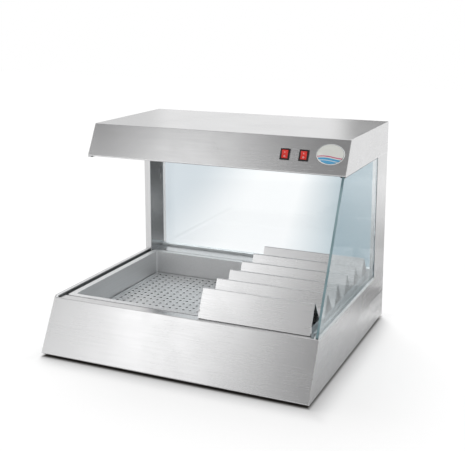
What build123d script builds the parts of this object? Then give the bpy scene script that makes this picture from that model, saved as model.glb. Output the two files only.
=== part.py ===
from build123d import *

import os
from math import cos, hypot, radians, sin, tan

# A countertop chip warmer: a slant-fronted heated base with a drop-in pan and a ribbed bag
# rack, two rear posts, a glass back and right side, and an overhanging hood with two
# infrared tubes. +Z is up, +X is to the operator's right and +Y is to the back. The origin
# is the middle of the footprint, on the worktop. All lengths are millimetres.

# ---------------------------------------------------------------- casing
width = 700.0
depth = 625.0
height = 550.0
foot_height = 7.0
base_height = 128.0
hood_height = 82.0
front_lean = 27.0

sheet = 1.2
bend_radius = 1.4
seat_gap = 0.3
snug_gap = 0.1
return_width = 18.0
base_rear_inset = 14.0
hood_rear_inset = 4.0

# ---------------------------------------------------------------- deck, pan and well
front_flange_width = 25.0
deck_drop = 4.0
pan_depth = 77.0
pan_corner = 8.0
pan_floor_radius = 4.0
rim_width = 14.5
rim_side_gap = 1.5
rim_front_gap = 2.3
rim_rear_gap = 2.5
well_margin = 6.0
liner_flange = 8.0
liner_floor_z = 20.0
rear_deck_width = 50.0
rear_deck_gap = 3.0

divider_x = 48.0
divider_drop = 2.0
divider_foot = 15.0
drain_inset = 3.0
drain_height = 12.0
drain_hole_radius = 3.5
drain_pitch = 20.0
drain_margin = 15.0

# ---------------------------------------------------------------- rack
rack_left_overhang = 2.0
rack_right_gap = 3.0
rack_front_inset = 10.8
rack_rear_gap = 3.5
rack_teeth = 6
rack_front_run = 32.0
rack_height = 69.0
rack_bend = 2.4
rail_thickness = 1.5
rail_height = 20.0
rail_inset = 4.5

# ---------------------------------------------------------------- posts
post_width = 19.0
post_depth = 96.6
post_corner = 1.1
tube_inset = 3.0
tube_setback = 10.0
tube_depth = 60.0
tube_wall = 2.0
arm_setback = 23.0
arm_height = 30.0
post_foot_reach = 26.0

# ---------------------------------------------------------------- glazing
glass = 6.0
glass_slot = 6.4
glass_bevel = 0.6
channel_lip = 3.6
channel_outer_lip = 1.5
channel_floor = 2.0
channel_height = 8.0
rear_channel_inset = 8.6
rear_channel_width = 18.0
rear_channel_height = 10.0

# ---------------------------------------------------------------- hood and heat lamps
hood_return = 17.0
reflector_setback = 35.0
reflector_length = 200.0
reflector_side = 95.0
reflector_rise = 42.0
reflector_slope_run = 30.0
reflector_flange = 13.0
lamp_pitch = 80.0
lamp_rise = 22.0
lamp_radius = 5.5
lamp_overhang = 30.0
cap_radius = 9.0
cap_length = 24.0
cap_grip = 14.0
holder_thickness = 1.5
holder_width = 26.0
holder_foot = 14.0
guard_wire = 1.5
guard_rods = 11
guard_overlap = 8.0
guard_touch = 0.02

# ---------------------------------------------------------------- switches and badge
switch_insets = (156.5, 109.0)
switch_names = ("lamp", "base")
switch_drop = 41.5
bezel_width = 24.5
bezel_height = 28.5
bezel_thick = 2.0
bezel_corner = 1.5
bezel_edge = 0.7
body_width = 20.0
body_height = 25.0
body_depth = 21.0
rocker_width = 15.4
rocker_height = 19.0
rocker_gap = 0.4
rocker_tilt = 9.0
rocker_pivot_depth = 3.5
rocker_proud = 0.3
rocker_root = 4.0
rocker_edge = 0.5
pivot_radius = 1.5
pivot_gap = 0.05
pivot_length = 1.0
tab_width = 4.8
tab_thick = 0.8
tab_length = 8.0
tab_pitch = 7.0
badge_inset = 45.0
badge_drop = 35.0
badge_width = 71.0
badge_height = 52.0
badge_thick = 0.8
badge_edge = 0.25

# ---------------------------------------------------------------- feet and fasteners
foot_radius = 16.0
foot_inset_x = 50.0
foot_inset_y = 55.0
foot_seat_z = 4.0
foot_edge = 1.5
screw_radius = 2.5
screw_head = 4.5
screw_head_height = 2.6
screw_head_edge = 0.8
screw_tail = 2.0
screw_length = 10.0
screw_inset = 14.0
nut_across = 8.0
nut_height = 4.0

# ---------------------------------------------------------------- heater and electrics
element_radius = 4.0
element_z = 40.0
element_pitch = 160.0
element_front_gap = 48.0
element_rear_gap = 60.0
element_tail = 35.0
element_bend = 38.0
bracket_pitch = 180.0
bracket_overhang = 40.0
bracket_thick = 2.0
bracket_foot = 12.0
blanket_margin = 14.0
blanket_corner = 12.0
element_nut = 9.0
element_nut_length = 6.0
limiter_x = 150.0
limiter_z = 62.0
limiter_radius = 12.0
limiter_length = 11.0
limiter_edge = 1.5
block_length = 60.0
block_width = 22.0
block_height = 17.0
block_edge = 1.5
block_ways = 5
block_well_radius = 3.0
block_well_depth = 8.5
block_side_inset = 100.0
block_inset = 20.0
hood_block_inset = 50.0
hood_block_setback = 55.0
vent_length = 46.0
vent_width = 4.0
vent_pitch = 9.0
vent_rows = 5
vent_spread = 220.0
gland_inset = 100.0
gland_z = 45.0
gland_thread = 10.0
gland_nut = 13.0
gland_nut_length = 6.0
gland_edge = 2.0
gland_reach = 12.0
cable_radius = 4.75
bond_inset = 145.0
bond_z = 40.0
bond_radius = 3.0
bond_reach = 11.0
bond_nut = 11.0
loom_radius = 3.2
loom_hole = 4.5
loom_inset = 5.0
loom_step = 20.0
loom_rise = 13.5
loom_lane = 15.0
loom_bends = [16.0, 16.0, 8.0, 10.0, 10.0]

# ---------------------------------------------------------------- worked-out places
# A bend at the foot of the slanted front starts bend_reach radii away from its sharp corner,
# and the rounding keeps the metal nose_round behind where that corner would be.
bend_outer = bend_radius + sheet
slope = radians(front_lean)
bend_reach = 1 / tan(radians(90 - front_lean) / 2)
nose_round = bend_outer * (bend_reach - 1)
front_y = -depth / 2 - nose_round
rear_y = depth / 2
half_width = width / 2
inner_half = half_width - sheet
lean = tan(slope)
wall_run = sheet / cos(slope)
face_normal = (0, -cos(slope), sin(slope))
outward = Axis((0, 0, 0), face_normal)

deck_z = foot_height + base_height
deck_plate_z = deck_z - deck_drop
deck_under_z = deck_plate_z - sheet
hood_z = height - hood_height
liner_z = hood_z + sheet
hood_under_top = height - sheet
bottom_z = foot_height + sheet
floor_z = bottom_z + sheet
base_rear_y = rear_y - base_rear_inset
hood_rear_y = rear_y - hood_rear_inset

post_inner = half_width - post_width
post_y = rear_y - post_depth
tube_outer_x = half_width - tube_inset
tube_inner_x = post_inner + tube_inset
tube_width = tube_outer_x - tube_inner_x
tube_mid_x = (tube_outer_x + tube_inner_x) / 2
tube_y = post_y + tube_setback
tube_mid_y = tube_y + tube_depth / 2

# From the front, the deck is the flange, the pan's rim, the rear deck and the rear channel.
front_edge_y = front_y + base_height * lean
flange_end_y = front_edge_y + front_flange_width
rear_channel_y = rear_y - rear_channel_inset - rear_channel_width
rear_deck_end_y = rear_channel_y - rear_deck_gap
rear_deck_y = rear_deck_end_y - rear_deck_width
rim_front_y = flange_end_y + rim_front_gap
rim_rear_y = rear_deck_y - rim_rear_gap
rim_half_x = post_inner - rim_side_gap
rim_half_y = (rim_rear_y - rim_front_y) / 2
pan_mid_y = (rim_rear_y + rim_front_y) / 2
pan_half_x = rim_half_x - rim_width
pan_half_y = rim_half_y - rim_width
pan_width = 2 * pan_half_x
pan_length = 2 * pan_half_y
pan_floor_z = deck_z - pan_depth + sheet
well_half_x = pan_half_x + well_margin
well_half_y = pan_half_y + well_margin
well_corner = pan_corner + well_margin

channel_outer = inner_half - snug_gap
slot_outer = channel_outer - channel_outer_lip
slot_inner = slot_outer - glass_slot
channel_inner = slot_inner - channel_lip
notch_x = channel_inner - seat_gap
pane_outer = slot_outer - (glass_slot - glass) / 2
channel_end_y = post_y - seat_gap
lower_channel_top = deck_plate_z + channel_height
upper_channel_top = hood_z + channel_height - channel_floor
upper_channel_low = upper_channel_top - channel_height
lower_slot_z = deck_plate_z + channel_floor
upper_slot_z = upper_channel_top - channel_floor

switch_xs = [half_width - inset for inset in switch_insets]
switch_z = height - switch_drop
badge_x = half_width - badge_inset
badge_z = height - badge_drop
gland_x = gland_inset - half_width
bond_x = bond_inset - half_width
block_x = half_width - block_side_inset
loom_x = tube_outer_x - loom_inset
loom_y = (tube_y + tube_depth + base_rear_y - sheet) / 2

sides = (("left", -1), ("right", 1))


def lean_y(z):
    """Y of the slanted front's outer face at height z."""
    return front_y + (z - foot_height) * lean


def wall_y(z):
    """Y of the slanted front's inner face at height z."""
    return lean_y(z) + wall_run


def behind_wall(low_z, high_z, end_y, gap=seat_gap):
    """Corners of the space behind the slanted front, between two heights, back to end_y."""
    return (
        (wall_y(low_z) + gap, low_z),
        (wall_y(high_z) + gap, high_z),
        (end_y, high_z),
        (end_y, low_z),
    )


def side_outline(low_z, high_z):
    """Corners of a side wall: the slanted front edge, then the upright rear edge."""
    return (
        (lean_y(low_z), low_z),
        (lean_y(high_z), high_z),
        (rear_y, high_z),
        (rear_y, low_z),
    )


def face_plane(x, z, below=0.0):
    """A plane on the slanted front, or below it, with Y up the slope and Z outwards."""
    origin = Vector(x, lean_y(z), z) - Vector(*face_normal) * below
    return Plane(origin=origin, x_dir=(1, 0, 0), z_dir=face_normal)


def rear_plane(y):
    """An upright plane at y that faces the back, its own X running to the left."""
    return Plane(origin=(0, y, 0), x_dir=(-1, 0, 0), z_dir=(0, 1, 0))


def post_holes():
    """Cuts the ways of the posts' tubes and of the wiring out of the current sketch."""
    with Locations((-tube_mid_x, tube_mid_y), (tube_mid_x, tube_mid_y)):
        Rectangle(tube_width + 2 * seat_gap, tube_depth + 2 * seat_gap, mode=Mode.SUBTRACT)
    with Locations((loom_x, loom_y)):
        Circle(loom_hole, mode=Mode.SUBTRACT)


def write(piece, name):
    """Labels a finished piece and writes its STEP file."""
    piece.part.label = name
    export_step(piece.part, f"parts/{name}.step")


os.makedirs("parts", exist_ok=True)

# ================================================================ base casing
with BuildPart() as base_front_panel:
    with BuildSketch(Plane.YZ.offset(-inner_half)):
        with BuildLine():
            FilletPolyline(
                (flange_end_y, deck_plate_z),
                (flange_end_y, deck_z),
                (front_edge_y, deck_z),
                (front_y, foot_height),
                (front_y + return_width, foot_height),
                radius=bend_outer,
            )
            offset(amount=sheet, side=Side.LEFT)
        make_face()
    extrude(amount=2 * inner_half)
    for _, way in sides:
        with BuildSketch(Plane.YZ.offset(way * notch_x)):
            Polygon(*behind_wall(deck_plate_z, deck_z, flange_end_y, 0), align=None)
        extrude(amount=way * (half_width - notch_x), mode=Mode.SUBTRACT)
write(base_front_panel, "base_front_panel")

screw_x = inner_half - screw_inset
base_screw_zs = (floor_z + screw_inset, deck_under_z - screw_inset)
hood_screw_zs = (liner_z + screw_inset, hood_under_top - screw_inset)
base_screws = [(x, z) for x in (-screw_x, screw_x) for z in base_screw_zs]
hood_screws = [(x, z) for x in (-screw_x, screw_x) for z in hood_screw_zs]
side_return_front = front_y + return_width + bend_outer
side_return_rear = base_rear_y - sheet - seat_gap

for side, way in sides:
    with BuildPart() as base_side:
        with BuildSketch(Plane.YZ.offset(way * half_width)) as profile:
            Polygon(*side_outline(foot_height, deck_z), align=None)
            fillet(profile.vertices().sort_by(Axis.X)[:2], bend_outer)
        extrude(amount=-way * sheet)
        with BuildSketch(Plane.XY.offset(foot_height)):
            return_mid_y = (side_return_front + side_return_rear) / 2
            with Locations((way * (half_width - return_width / 2), return_mid_y)):
                Rectangle(return_width, side_return_rear - side_return_front)
        extrude(amount=sheet)
        with BuildSketch(rear_plane(base_rear_y - sheet)):
            with Locations((-way * (half_width - return_width / 2), (floor_z + deck_under_z) / 2)):
                Rectangle(return_width, deck_under_z - floor_z)
            with Locations(*base_screws):
                Circle(screw_radius + snug_gap, mode=Mode.SUBTRACT)
        extrude(amount=-sheet)
    write(base_side, f"base_side_{side}")

with BuildPart() as base_rear_panel:
    with BuildSketch(rear_plane(base_rear_y)):
        with Locations((0, (foot_height + deck_under_z) / 2)):
            Rectangle(2 * inner_half, deck_under_z - foot_height)
            with GridLocations(vent_spread, vent_pitch, 2, vent_rows):
                SlotOverall(vent_length, vent_width, mode=Mode.SUBTRACT)
        with Locations((-gland_x, gland_z)):
            Circle(gland_thread + snug_gap, mode=Mode.SUBTRACT)
        with Locations((-bond_x, bond_z)):
            Circle(bond_radius + snug_gap, mode=Mode.SUBTRACT)
        with Locations(*base_screws):
            Circle(screw_radius + snug_gap, mode=Mode.SUBTRACT)
    extrude(amount=-sheet)
write(base_rear_panel, "base_rear_panel")

foot_x = half_width - foot_inset_x
foot_y = depth / 2 - foot_inset_y
foot_places = [(x, y) for x in (-foot_x, foot_x) for y in (-foot_y, foot_y)]
plate_front_y = wall_y(bottom_z) + bend_radius * bend_reach + seat_gap
plate_rear_y = base_rear_y - sheet

with BuildPart() as base_bottom_plate:
    with BuildSketch(Plane.XY.offset(bottom_z)):
        with Locations((0, (plate_front_y + plate_rear_y) / 2)):
            Rectangle(2 * inner_half, plate_rear_y - plate_front_y)
        with Locations(*foot_places):
            Circle(screw_radius + snug_gap, mode=Mode.SUBTRACT)
    extrude(amount=sheet)
write(base_bottom_plate, "base_bottom_plate")

with BuildPart() as rubber_feet:
    with BuildSketch(Plane.XY):
        with Locations(*foot_places):
            Circle(foot_radius)
    extrude(amount=bottom_z)
    chamfer(rubber_feet.edges().group_by(Axis.Z)[0], foot_edge)
    with BuildSketch(Plane.XY):
        with Locations(*foot_places):
            Circle(screw_head + foot_edge)
    extrude(amount=foot_seat_z, mode=Mode.SUBTRACT)
    with BuildSketch(Plane.XY):
        with Locations(*foot_places):
            Circle(screw_radius + snug_gap)
    extrude(amount=bottom_z, mode=Mode.SUBTRACT)
write(rubber_feet, "rubber_feet")

with BuildPart() as foot_screws:
    with BuildSketch(Plane.XY.offset(foot_seat_z)):
        with Locations(*foot_places):
            Circle(screw_head)
    extrude(amount=-screw_head_height)
    with BuildSketch(Plane.XY.offset(foot_seat_z)):
        with Locations(*foot_places):
            Circle(screw_radius)
    extrude(amount=floor_z + nut_height + screw_tail - foot_seat_z)
    chamfer(foot_screws.edges().group_by(Axis.Z)[0], screw_head_edge)
write(foot_screws, "foot_screws")

with BuildPart() as foot_nuts:
    with BuildSketch(Plane.XY.offset(floor_z)):
        with Locations(*foot_places):
            RegularPolygon(nut_across / 2, 6, major_radius=False)
            Circle(screw_radius + snug_gap, mode=Mode.SUBTRACT)
    extrude(amount=nut_height)
write(foot_nuts, "foot_nuts")

# ================================================================ deck and heated well
deck_front_y = wall_y(deck_plate_z) + seat_gap
with BuildPart() as deck_frame:
    with BuildSketch(Plane.XY.offset(deck_plate_z)):
        with Locations((0, (deck_front_y + rear_y) / 2)):
            Rectangle(2 * inner_half, rear_y - deck_front_y)
        with Locations((0, pan_mid_y)):
            RectangleRounded(2 * well_half_x, 2 * well_half_y, well_corner, mode=Mode.SUBTRACT)
        post_holes()
    extrude(amount=-sheet)
write(deck_frame, "deck_frame")

rear_deck_half = post_inner - post_foot_reach - seat_gap
with BuildPart() as rear_deck:
    with BuildSketch(Plane.YZ.offset(-rear_deck_half)):
        with BuildLine():
            FilletPolyline(
                (rear_deck_end_y, deck_plate_z),
                (rear_deck_end_y, deck_z),
                (rear_deck_y, deck_z),
                (rear_deck_y, deck_plate_z),
                radius=bend_outer,
            )
            offset(amount=sheet, side=Side.LEFT)
        make_face()
    extrude(amount=2 * rear_deck_half)
write(rear_deck, "rear_deck")

# The element is one bar in four parallel runs, with both ends at the back.
element_xs = [(step - 1.5) * element_pitch for step in range(4)]
element_ends = [(-element_xs[0], element_z), (-element_xs[-1], element_z)]
liner_rear_y = pan_mid_y + well_half_y + sheet
element_front_y = pan_mid_y - pan_half_y + element_front_gap
element_turn_y = pan_mid_y + pan_half_y - element_rear_gap
element_end_y = liner_rear_y + element_tail

with BuildPart() as well_liner:
    with BuildSketch(Plane.XY.offset(liner_floor_z)):
        with Locations((0, pan_mid_y)):
            RectangleRounded(
                2 * (well_half_x + sheet),
                2 * (well_half_y + sheet),
                well_corner + sheet,
            )
    extrude(amount=deck_under_z - liner_floor_z)
    with BuildSketch(Plane.XY.offset(deck_under_z)):
        with Locations((0, pan_mid_y)):
            Rectangle(2 * (well_half_x + liner_flange), 2 * (well_half_y + liner_flange))
    extrude(amount=-sheet)
    with BuildSketch(Plane.XY.offset(liner_floor_z + sheet)):
        with Locations((0, pan_mid_y)):
            RectangleRounded(2 * well_half_x, 2 * well_half_y, well_corner)
    extrude(amount=deck_under_z - liner_floor_z, mode=Mode.SUBTRACT)
    with BuildSketch(rear_plane(liner_rear_y)):
        with Locations(*element_ends):
            Circle(element_radius + snug_gap)
    extrude(amount=-2 * sheet, mode=Mode.SUBTRACT)
write(well_liner, "well_liner")

with BuildPart() as insulation_blanket:
    with BuildSketch(Plane.XY.offset(floor_z)):
        with Locations((0, pan_mid_y)):
            RectangleRounded(
                2 * (well_half_x - blanket_margin),
                2 * (well_half_y - blanket_margin),
                blanket_corner,
            )
    extrude(amount=liner_floor_z - floor_z)
write(insulation_blanket, "insulation_blanket")

with BuildPart() as heating_element:
    with BuildLine(Plane.XY.offset(element_z)) as element_path:
        FilletPolyline(
            (element_xs[0], element_end_y),
            (element_xs[0], element_front_y),
            (element_xs[1], element_front_y),
            (element_xs[1], element_turn_y),
            (element_xs[2], element_turn_y),
            (element_xs[2], element_front_y),
            (element_xs[3], element_front_y),
            (element_xs[3], element_end_y),
            radius=element_bend,
        )
    with BuildSketch(Plane(origin=element_path.line @ 0, z_dir=element_path.line % 0)):
        Circle(element_radius)
    sweep(path=element_path.line)
write(heating_element, "heating_element")

bracket_z = liner_floor_z + sheet
bracket_height = element_z - element_radius - bracket_z
bracket_half = element_xs[-1] + bracket_overhang
with BuildPart() as element_brackets:
    for bracket_y in (pan_mid_y - bracket_pitch / 2, pan_mid_y + bracket_pitch / 2):
        with BuildSketch(Plane.YZ.offset(-bracket_half)):
            with Locations((bracket_y, bracket_z)):
                Rectangle(bracket_thick, bracket_height, align=(Align.MIN, Align.MIN))
                Rectangle(bracket_foot, bracket_thick, align=(Align.MIN, Align.MIN))
        extrude(amount=2 * bracket_half)
write(element_brackets, "element_brackets")

with BuildPart() as element_glands:
    with BuildSketch(rear_plane(liner_rear_y)):
        with Locations(*element_ends):
            RegularPolygon(element_nut, 6, major_radius=False)
            Circle(element_radius + snug_gap, mode=Mode.SUBTRACT)
    extrude(amount=element_nut_length)
write(element_glands, "element_glands")

with BuildPart() as limit_thermostat:
    with BuildSketch(rear_plane(liner_rear_y)):
        with Locations((-limiter_x, limiter_z)):
            Circle(limiter_radius)
    extrude(amount=limiter_length)
    fillet(limit_thermostat.edges().group_by(Axis.Y)[-1], limiter_edge)
    with BuildSketch(rear_plane(liner_rear_y + limiter_length)):
        with Locations((-limiter_x, limiter_z)):
            with GridLocations(limiter_radius, 0, 2, 1):
                Rectangle(tab_thick, tab_width)
    extrude(amount=tab_length)
write(limit_thermostat, "limit_thermostat")


def terminal_block(x, y, z):
    """A moulded terminal block with two rows of screw wells, standing on height z."""
    with BuildPart() as block:
        with BuildSketch(Plane.XY.offset(z)):
            with Locations((x, y)):
                Rectangle(block_length, block_width)
        extrude(amount=block_height)
        fillet(block.edges().filter_by(Axis.Z), block_edge)
        with BuildSketch(Plane.XY.offset(z + block_height)):
            with Locations((x, y)):
                with GridLocations(block_length / block_ways, block_width / 2, block_ways, 2):
                    Circle(block_well_radius)
        extrude(amount=-block_well_depth, mode=Mode.SUBTRACT)
    return block


block_y = base_rear_y - sheet - block_inset
write(terminal_block(block_x, block_y, floor_z), "base_terminal_block")

with BuildPart() as cable_gland:
    with BuildSketch(rear_plane(base_rear_y)):
        with Locations((-gland_x, gland_z)):
            RegularPolygon(gland_nut, 6, major_radius=False)
    extrude(amount=gland_nut_length)
    with BuildSketch(rear_plane(base_rear_y)):
        with Locations((-gland_x, gland_z)):
            Circle(gland_thread)
    extrude(amount=gland_reach)
    fillet(cable_gland.edges().group_by(Axis.Y)[-1], gland_edge)
    with BuildSketch(rear_plane(base_rear_y)):
        with Locations((-gland_x, gland_z)):
            Circle(gland_thread)
    extrude(amount=-gland_reach)
    with BuildSketch(rear_plane(base_rear_y - sheet)):
        with Locations((-gland_x, gland_z)):
            RegularPolygon(gland_nut, 6, major_radius=False)
    extrude(amount=-gland_nut_length)
    with BuildSketch(rear_plane(base_rear_y + gland_reach)):
        with Locations((-gland_x, gland_z)):
            Circle(cable_radius)
    extrude(amount=-2 * gland_reach, mode=Mode.SUBTRACT)
write(cable_gland, "cable_gland")

with BuildPart() as bonding_stud:
    with BuildSketch(rear_plane(base_rear_y + bond_reach)):
        with Locations((-bond_x, bond_z)):
            Circle(bond_radius)
    extrude(amount=-2 * bond_reach)
    with BuildSketch(rear_plane(base_rear_y)):
        with Locations((-bond_x, bond_z)):
            RegularPolygon(bond_nut / 2, 6, major_radius=False)
    extrude(amount=nut_height)
    with BuildSketch(rear_plane(base_rear_y - sheet)):
        with Locations((-bond_x, bond_z)):
            RegularPolygon(bond_nut / 2, 6, major_radius=False)
    extrude(amount=-nut_height)
write(bonding_stud, "bonding_stud")

# ================================================================ posts
post_foot_rear = rear_channel_y - seat_gap
arm_y = lean_y(height) + arm_setback
for side, way in sides:
    with BuildPart() as post_foot:
        with BuildSketch(Plane.XY.offset(deck_plate_z)):
            Polygon(
                (way * post_inner, post_y),
                (way * channel_outer, post_y),
                (way * channel_outer, rear_y),
                (way * post_inner, rear_y),
                (way * post_inner, post_foot_rear),
                (way * (post_inner - post_foot_reach), post_foot_rear),
                (way * (post_inner - post_foot_reach), rear_deck_y),
                (way * post_inner, rear_deck_y),
                align=None,
            )
            post_holes()
        extrude(amount=deck_drop)
    write(post_foot, f"post_foot_{side}")

    with BuildPart() as post_frame:
        with BuildSketch(Plane.XY.offset(floor_z)):
            with Locations((way * tube_mid_x, tube_mid_y)):
                Rectangle(tube_width, tube_depth)
        extrude(amount=hood_under_top - floor_z)
        with BuildSketch(Plane.XZ.offset(-tube_y)):
            with Locations((way * tube_mid_x, hood_under_top - arm_height / 2)):
                Rectangle(tube_width, arm_height)
        extrude(amount=tube_y - arm_y)
        with BuildSketch(Plane.XY.offset(floor_z)):
            with Locations((way * tube_mid_x, tube_mid_y)):
                Rectangle(tube_width - 2 * tube_wall, tube_depth - 2 * tube_wall)
        extrude(amount=hood_under_top - floor_z, mode=Mode.SUBTRACT)
        with BuildSketch(Plane.XZ.offset(-tube_y)):
            with Locations((way * tube_mid_x, hood_under_top - arm_height / 2)):
                Rectangle(tube_width - 2 * tube_wall, arm_height - 2 * tube_wall)
        extrude(amount=tube_y - arm_y, mode=Mode.SUBTRACT)
    write(post_frame, f"post_frame_{side}")

    with BuildPart() as post_cover:
        with BuildSketch(Plane.XY.offset(deck_z)):
            with Locations((way * (half_width - post_width / 2), (post_y + rear_y) / 2)):
                RectangleRounded(post_width, rear_y - post_y, post_corner)
                Rectangle(post_width - 2 * sheet, rear_y - post_y - 2 * sheet, mode=Mode.SUBTRACT)
        extrude(amount=hood_z - deck_z)
    write(post_cover, f"post_cover_{side}")

# ================================================================ glazing


def side_channel(way, low_z, high_z, slot_low, slot_high):
    """A channel along one side, with a slot for the pane between two heights."""
    with BuildPart() as channel:
        with BuildSketch(Plane.YZ.offset(way * channel_inner)):
            Polygon(*behind_wall(low_z, high_z, channel_end_y), align=None)
        extrude(amount=way * (channel_outer - channel_inner))
        with BuildSketch(Plane.YZ.offset(way * slot_inner)):
            Polygon(*behind_wall(slot_low, slot_high, channel_end_y), align=None)
        extrude(amount=way * glass_slot, mode=Mode.SUBTRACT)
    return channel


for side, way in sides:
    lower_channel = side_channel(way, deck_plate_z, lower_channel_top, lower_slot_z, lower_channel_top)
    write(lower_channel, f"lower_channel_{side}")
    upper_channel = side_channel(way, upper_channel_low, upper_channel_top, upper_channel_low, upper_slot_z)
    write(upper_channel, f"upper_channel_{side}")

with BuildPart() as left_channel_strips:
    for low_z, high_z in ((lower_slot_z, lower_channel_top), (upper_channel_low, upper_slot_z)):
        with BuildSketch(Plane.YZ.offset(snug_gap - slot_outer)):
            Polygon(*behind_wall(low_z, high_z, channel_end_y), align=None)
        extrude(amount=glass_slot - 2 * snug_gap)
write(left_channel_strips, "left_channel_strips")

with BuildPart() as right_glass:
    with BuildSketch(Plane.YZ.offset(pane_outer)):
        Polygon(*behind_wall(lower_slot_z, upper_slot_z, channel_end_y), align=None)
    extrude(amount=-glass)
    chamfer(right_glass.faces().sort_by(Axis.Y)[0].edges(), glass_bevel)
write(right_glass, "right_glass")

rear_channel_mid_y = rear_channel_y + rear_channel_width / 2
rear_channel_half = post_inner - seat_gap


def rear_channel(low_z, slot_low):
    """A channel across the back, with a slot for the pane that starts at a height."""
    with BuildPart() as channel:
        with BuildSketch(Plane.XY.offset(low_z)):
            with Locations((0, rear_channel_mid_y)):
                Rectangle(2 * rear_channel_half, rear_channel_width)
        extrude(amount=rear_channel_height)
        with BuildSketch(Plane.XY.offset(slot_low)):
            with Locations((0, rear_channel_mid_y)):
                Rectangle(2 * rear_channel_half, glass_slot)
        extrude(amount=rear_channel_height - channel_floor, mode=Mode.SUBTRACT)
    return channel


upper_rear_low = hood_z - rear_channel_height
write(rear_channel(deck_plate_z, lower_slot_z), "lower_rear_channel")
write(rear_channel(upper_rear_low, upper_rear_low), "upper_rear_channel")

with BuildPart() as back_glass:
    with BuildSketch(Plane.XY.offset(lower_slot_z)):
        with Locations((0, rear_channel_mid_y)):
            Rectangle(2 * rear_channel_half, glass)
    extrude(amount=hood_z - channel_floor - lower_slot_z)
    chamfer(back_glass.edges().filter_by(Axis.Z), glass_bevel)
write(back_glass, "back_glass")

# ================================================================ hood
with BuildPart() as hood_shell:
    with BuildSketch(Plane.YZ.offset(-inner_half)):
        with BuildLine():
            FilletPolyline(
                (lean_y(hood_z) + hood_return, hood_z),
                (lean_y(hood_z), hood_z),
                (lean_y(height), height),
                (rear_y, height),
                radius=bend_outer,
            )
            offset(amount=sheet, side=Side.RIGHT)
        make_face()
    extrude(amount=2 * inner_half)
    for _, way in sides:
        with BuildSketch(Plane.YZ.offset(way * notch_x)):
            notch = behind_wall(hood_z, upper_channel_top, lean_y(hood_z) + hood_return, 0)
            Polygon(*notch, align=None)
        extrude(amount=way * (half_width - notch_x), mode=Mode.SUBTRACT)
    for switch_x in switch_xs:
        with BuildSketch(face_plane(switch_x, switch_z)):
            Rectangle(body_width + 2 * seat_gap, body_height + 2 * seat_gap)
        extrude(amount=2 * sheet, both=True, mode=Mode.SUBTRACT)
write(hood_shell, "hood_shell")

for side, way in sides:
    with BuildPart() as hood_side:
        with BuildSketch(Plane.YZ.offset(way * half_width)) as profile:
            Polygon(*side_outline(hood_z, height), align=None)
            fillet(profile.vertices().sort_by(Axis.X)[:2], bend_outer)
        extrude(amount=-way * sheet)
        with BuildSketch(rear_plane(hood_rear_y - sheet)):
            with Locations((-way * (half_width - return_width / 2), (liner_z + hood_under_top) / 2)):
                Rectangle(return_width, hood_under_top - liner_z)
            with Locations(*hood_screws):
                Circle(screw_radius + snug_gap, mode=Mode.SUBTRACT)
        extrude(amount=-sheet)
    write(hood_side, f"hood_side_{side}")

with BuildPart() as hood_rear_cover:
    with BuildSketch(rear_plane(hood_rear_y)):
        with Locations((0, (hood_z + hood_under_top) / 2)):
            Rectangle(2 * inner_half, hood_under_top - hood_z)
            with GridLocations(vent_spread, vent_pitch, 2, vent_rows):
                SlotOverall(vent_length, vent_width, mode=Mode.SUBTRACT)
        with Locations(*hood_screws):
            Circle(screw_radius + snug_gap, mode=Mode.SUBTRACT)
    extrude(amount=-sheet)
write(hood_rear_cover, "hood_rear_cover")

reflector_half = half_width - reflector_side
reflector_y = arm_y + reflector_setback
reflector_end_y = reflector_y + reflector_length
reflector_mid_y = (reflector_y + reflector_end_y) / 2
liner_front_y = lean_y(hood_z) + hood_return + seat_gap

with BuildPart() as hood_liner:
    with BuildSketch(Plane.XY.offset(hood_z)):
        Polygon(
            (-notch_x, liner_front_y),
            (notch_x, liner_front_y),
            (notch_x, post_y),
            (channel_outer, post_y),
            (channel_outer, hood_rear_y - sheet),
            (-channel_outer, hood_rear_y - sheet),
            (-channel_outer, post_y),
            (-notch_x, post_y),
            align=None,
        )
        with Locations((0, reflector_mid_y)):
            Rectangle(2 * reflector_half, reflector_length, mode=Mode.SUBTRACT)
        post_holes()
    extrude(amount=sheet)
write(hood_liner, "hood_liner")

lamp_z = liner_z + lamp_rise
lamp_ys = (reflector_mid_y - lamp_pitch / 2, reflector_mid_y + lamp_pitch / 2)
lamp_places = [(lamp_y, lamp_z) for lamp_y in lamp_ys]
reflector_outline = [
    (reflector_y - reflector_flange, liner_z),
    (reflector_y, liner_z),
    (reflector_y + reflector_slope_run, liner_z + reflector_rise),
    (reflector_end_y - reflector_slope_run, liner_z + reflector_rise),
    (reflector_end_y, liner_z),
    (reflector_end_y + reflector_flange, liner_z),
]

with BuildPart() as reflector:
    with BuildSketch(Plane.YZ.offset(-reflector_half)):
        with BuildLine():
            FilletPolyline(*reflector_outline, radius=bend_outer)
            offset(amount=sheet, side=Side.LEFT)
        make_face()
    extrude(amount=2 * reflector_half)
    for _, way in sides:
        with BuildSketch(Plane.YZ.offset(way * (reflector_half - sheet))):
            Polygon(*reflector_outline[1:5], align=None)
            with Locations(*lamp_places):
                Circle(lamp_radius + seat_gap, mode=Mode.SUBTRACT)
        extrude(amount=way * sheet)
write(reflector, "reflector")

lamp_end = reflector_half + lamp_overhang
with BuildPart() as infrared_tubes:
    with BuildSketch(Plane.YZ.offset(-lamp_end)):
        with Locations(*lamp_places):
            Circle(lamp_radius)
    extrude(amount=2 * lamp_end)
write(infrared_tubes, "infrared_tubes")

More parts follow.
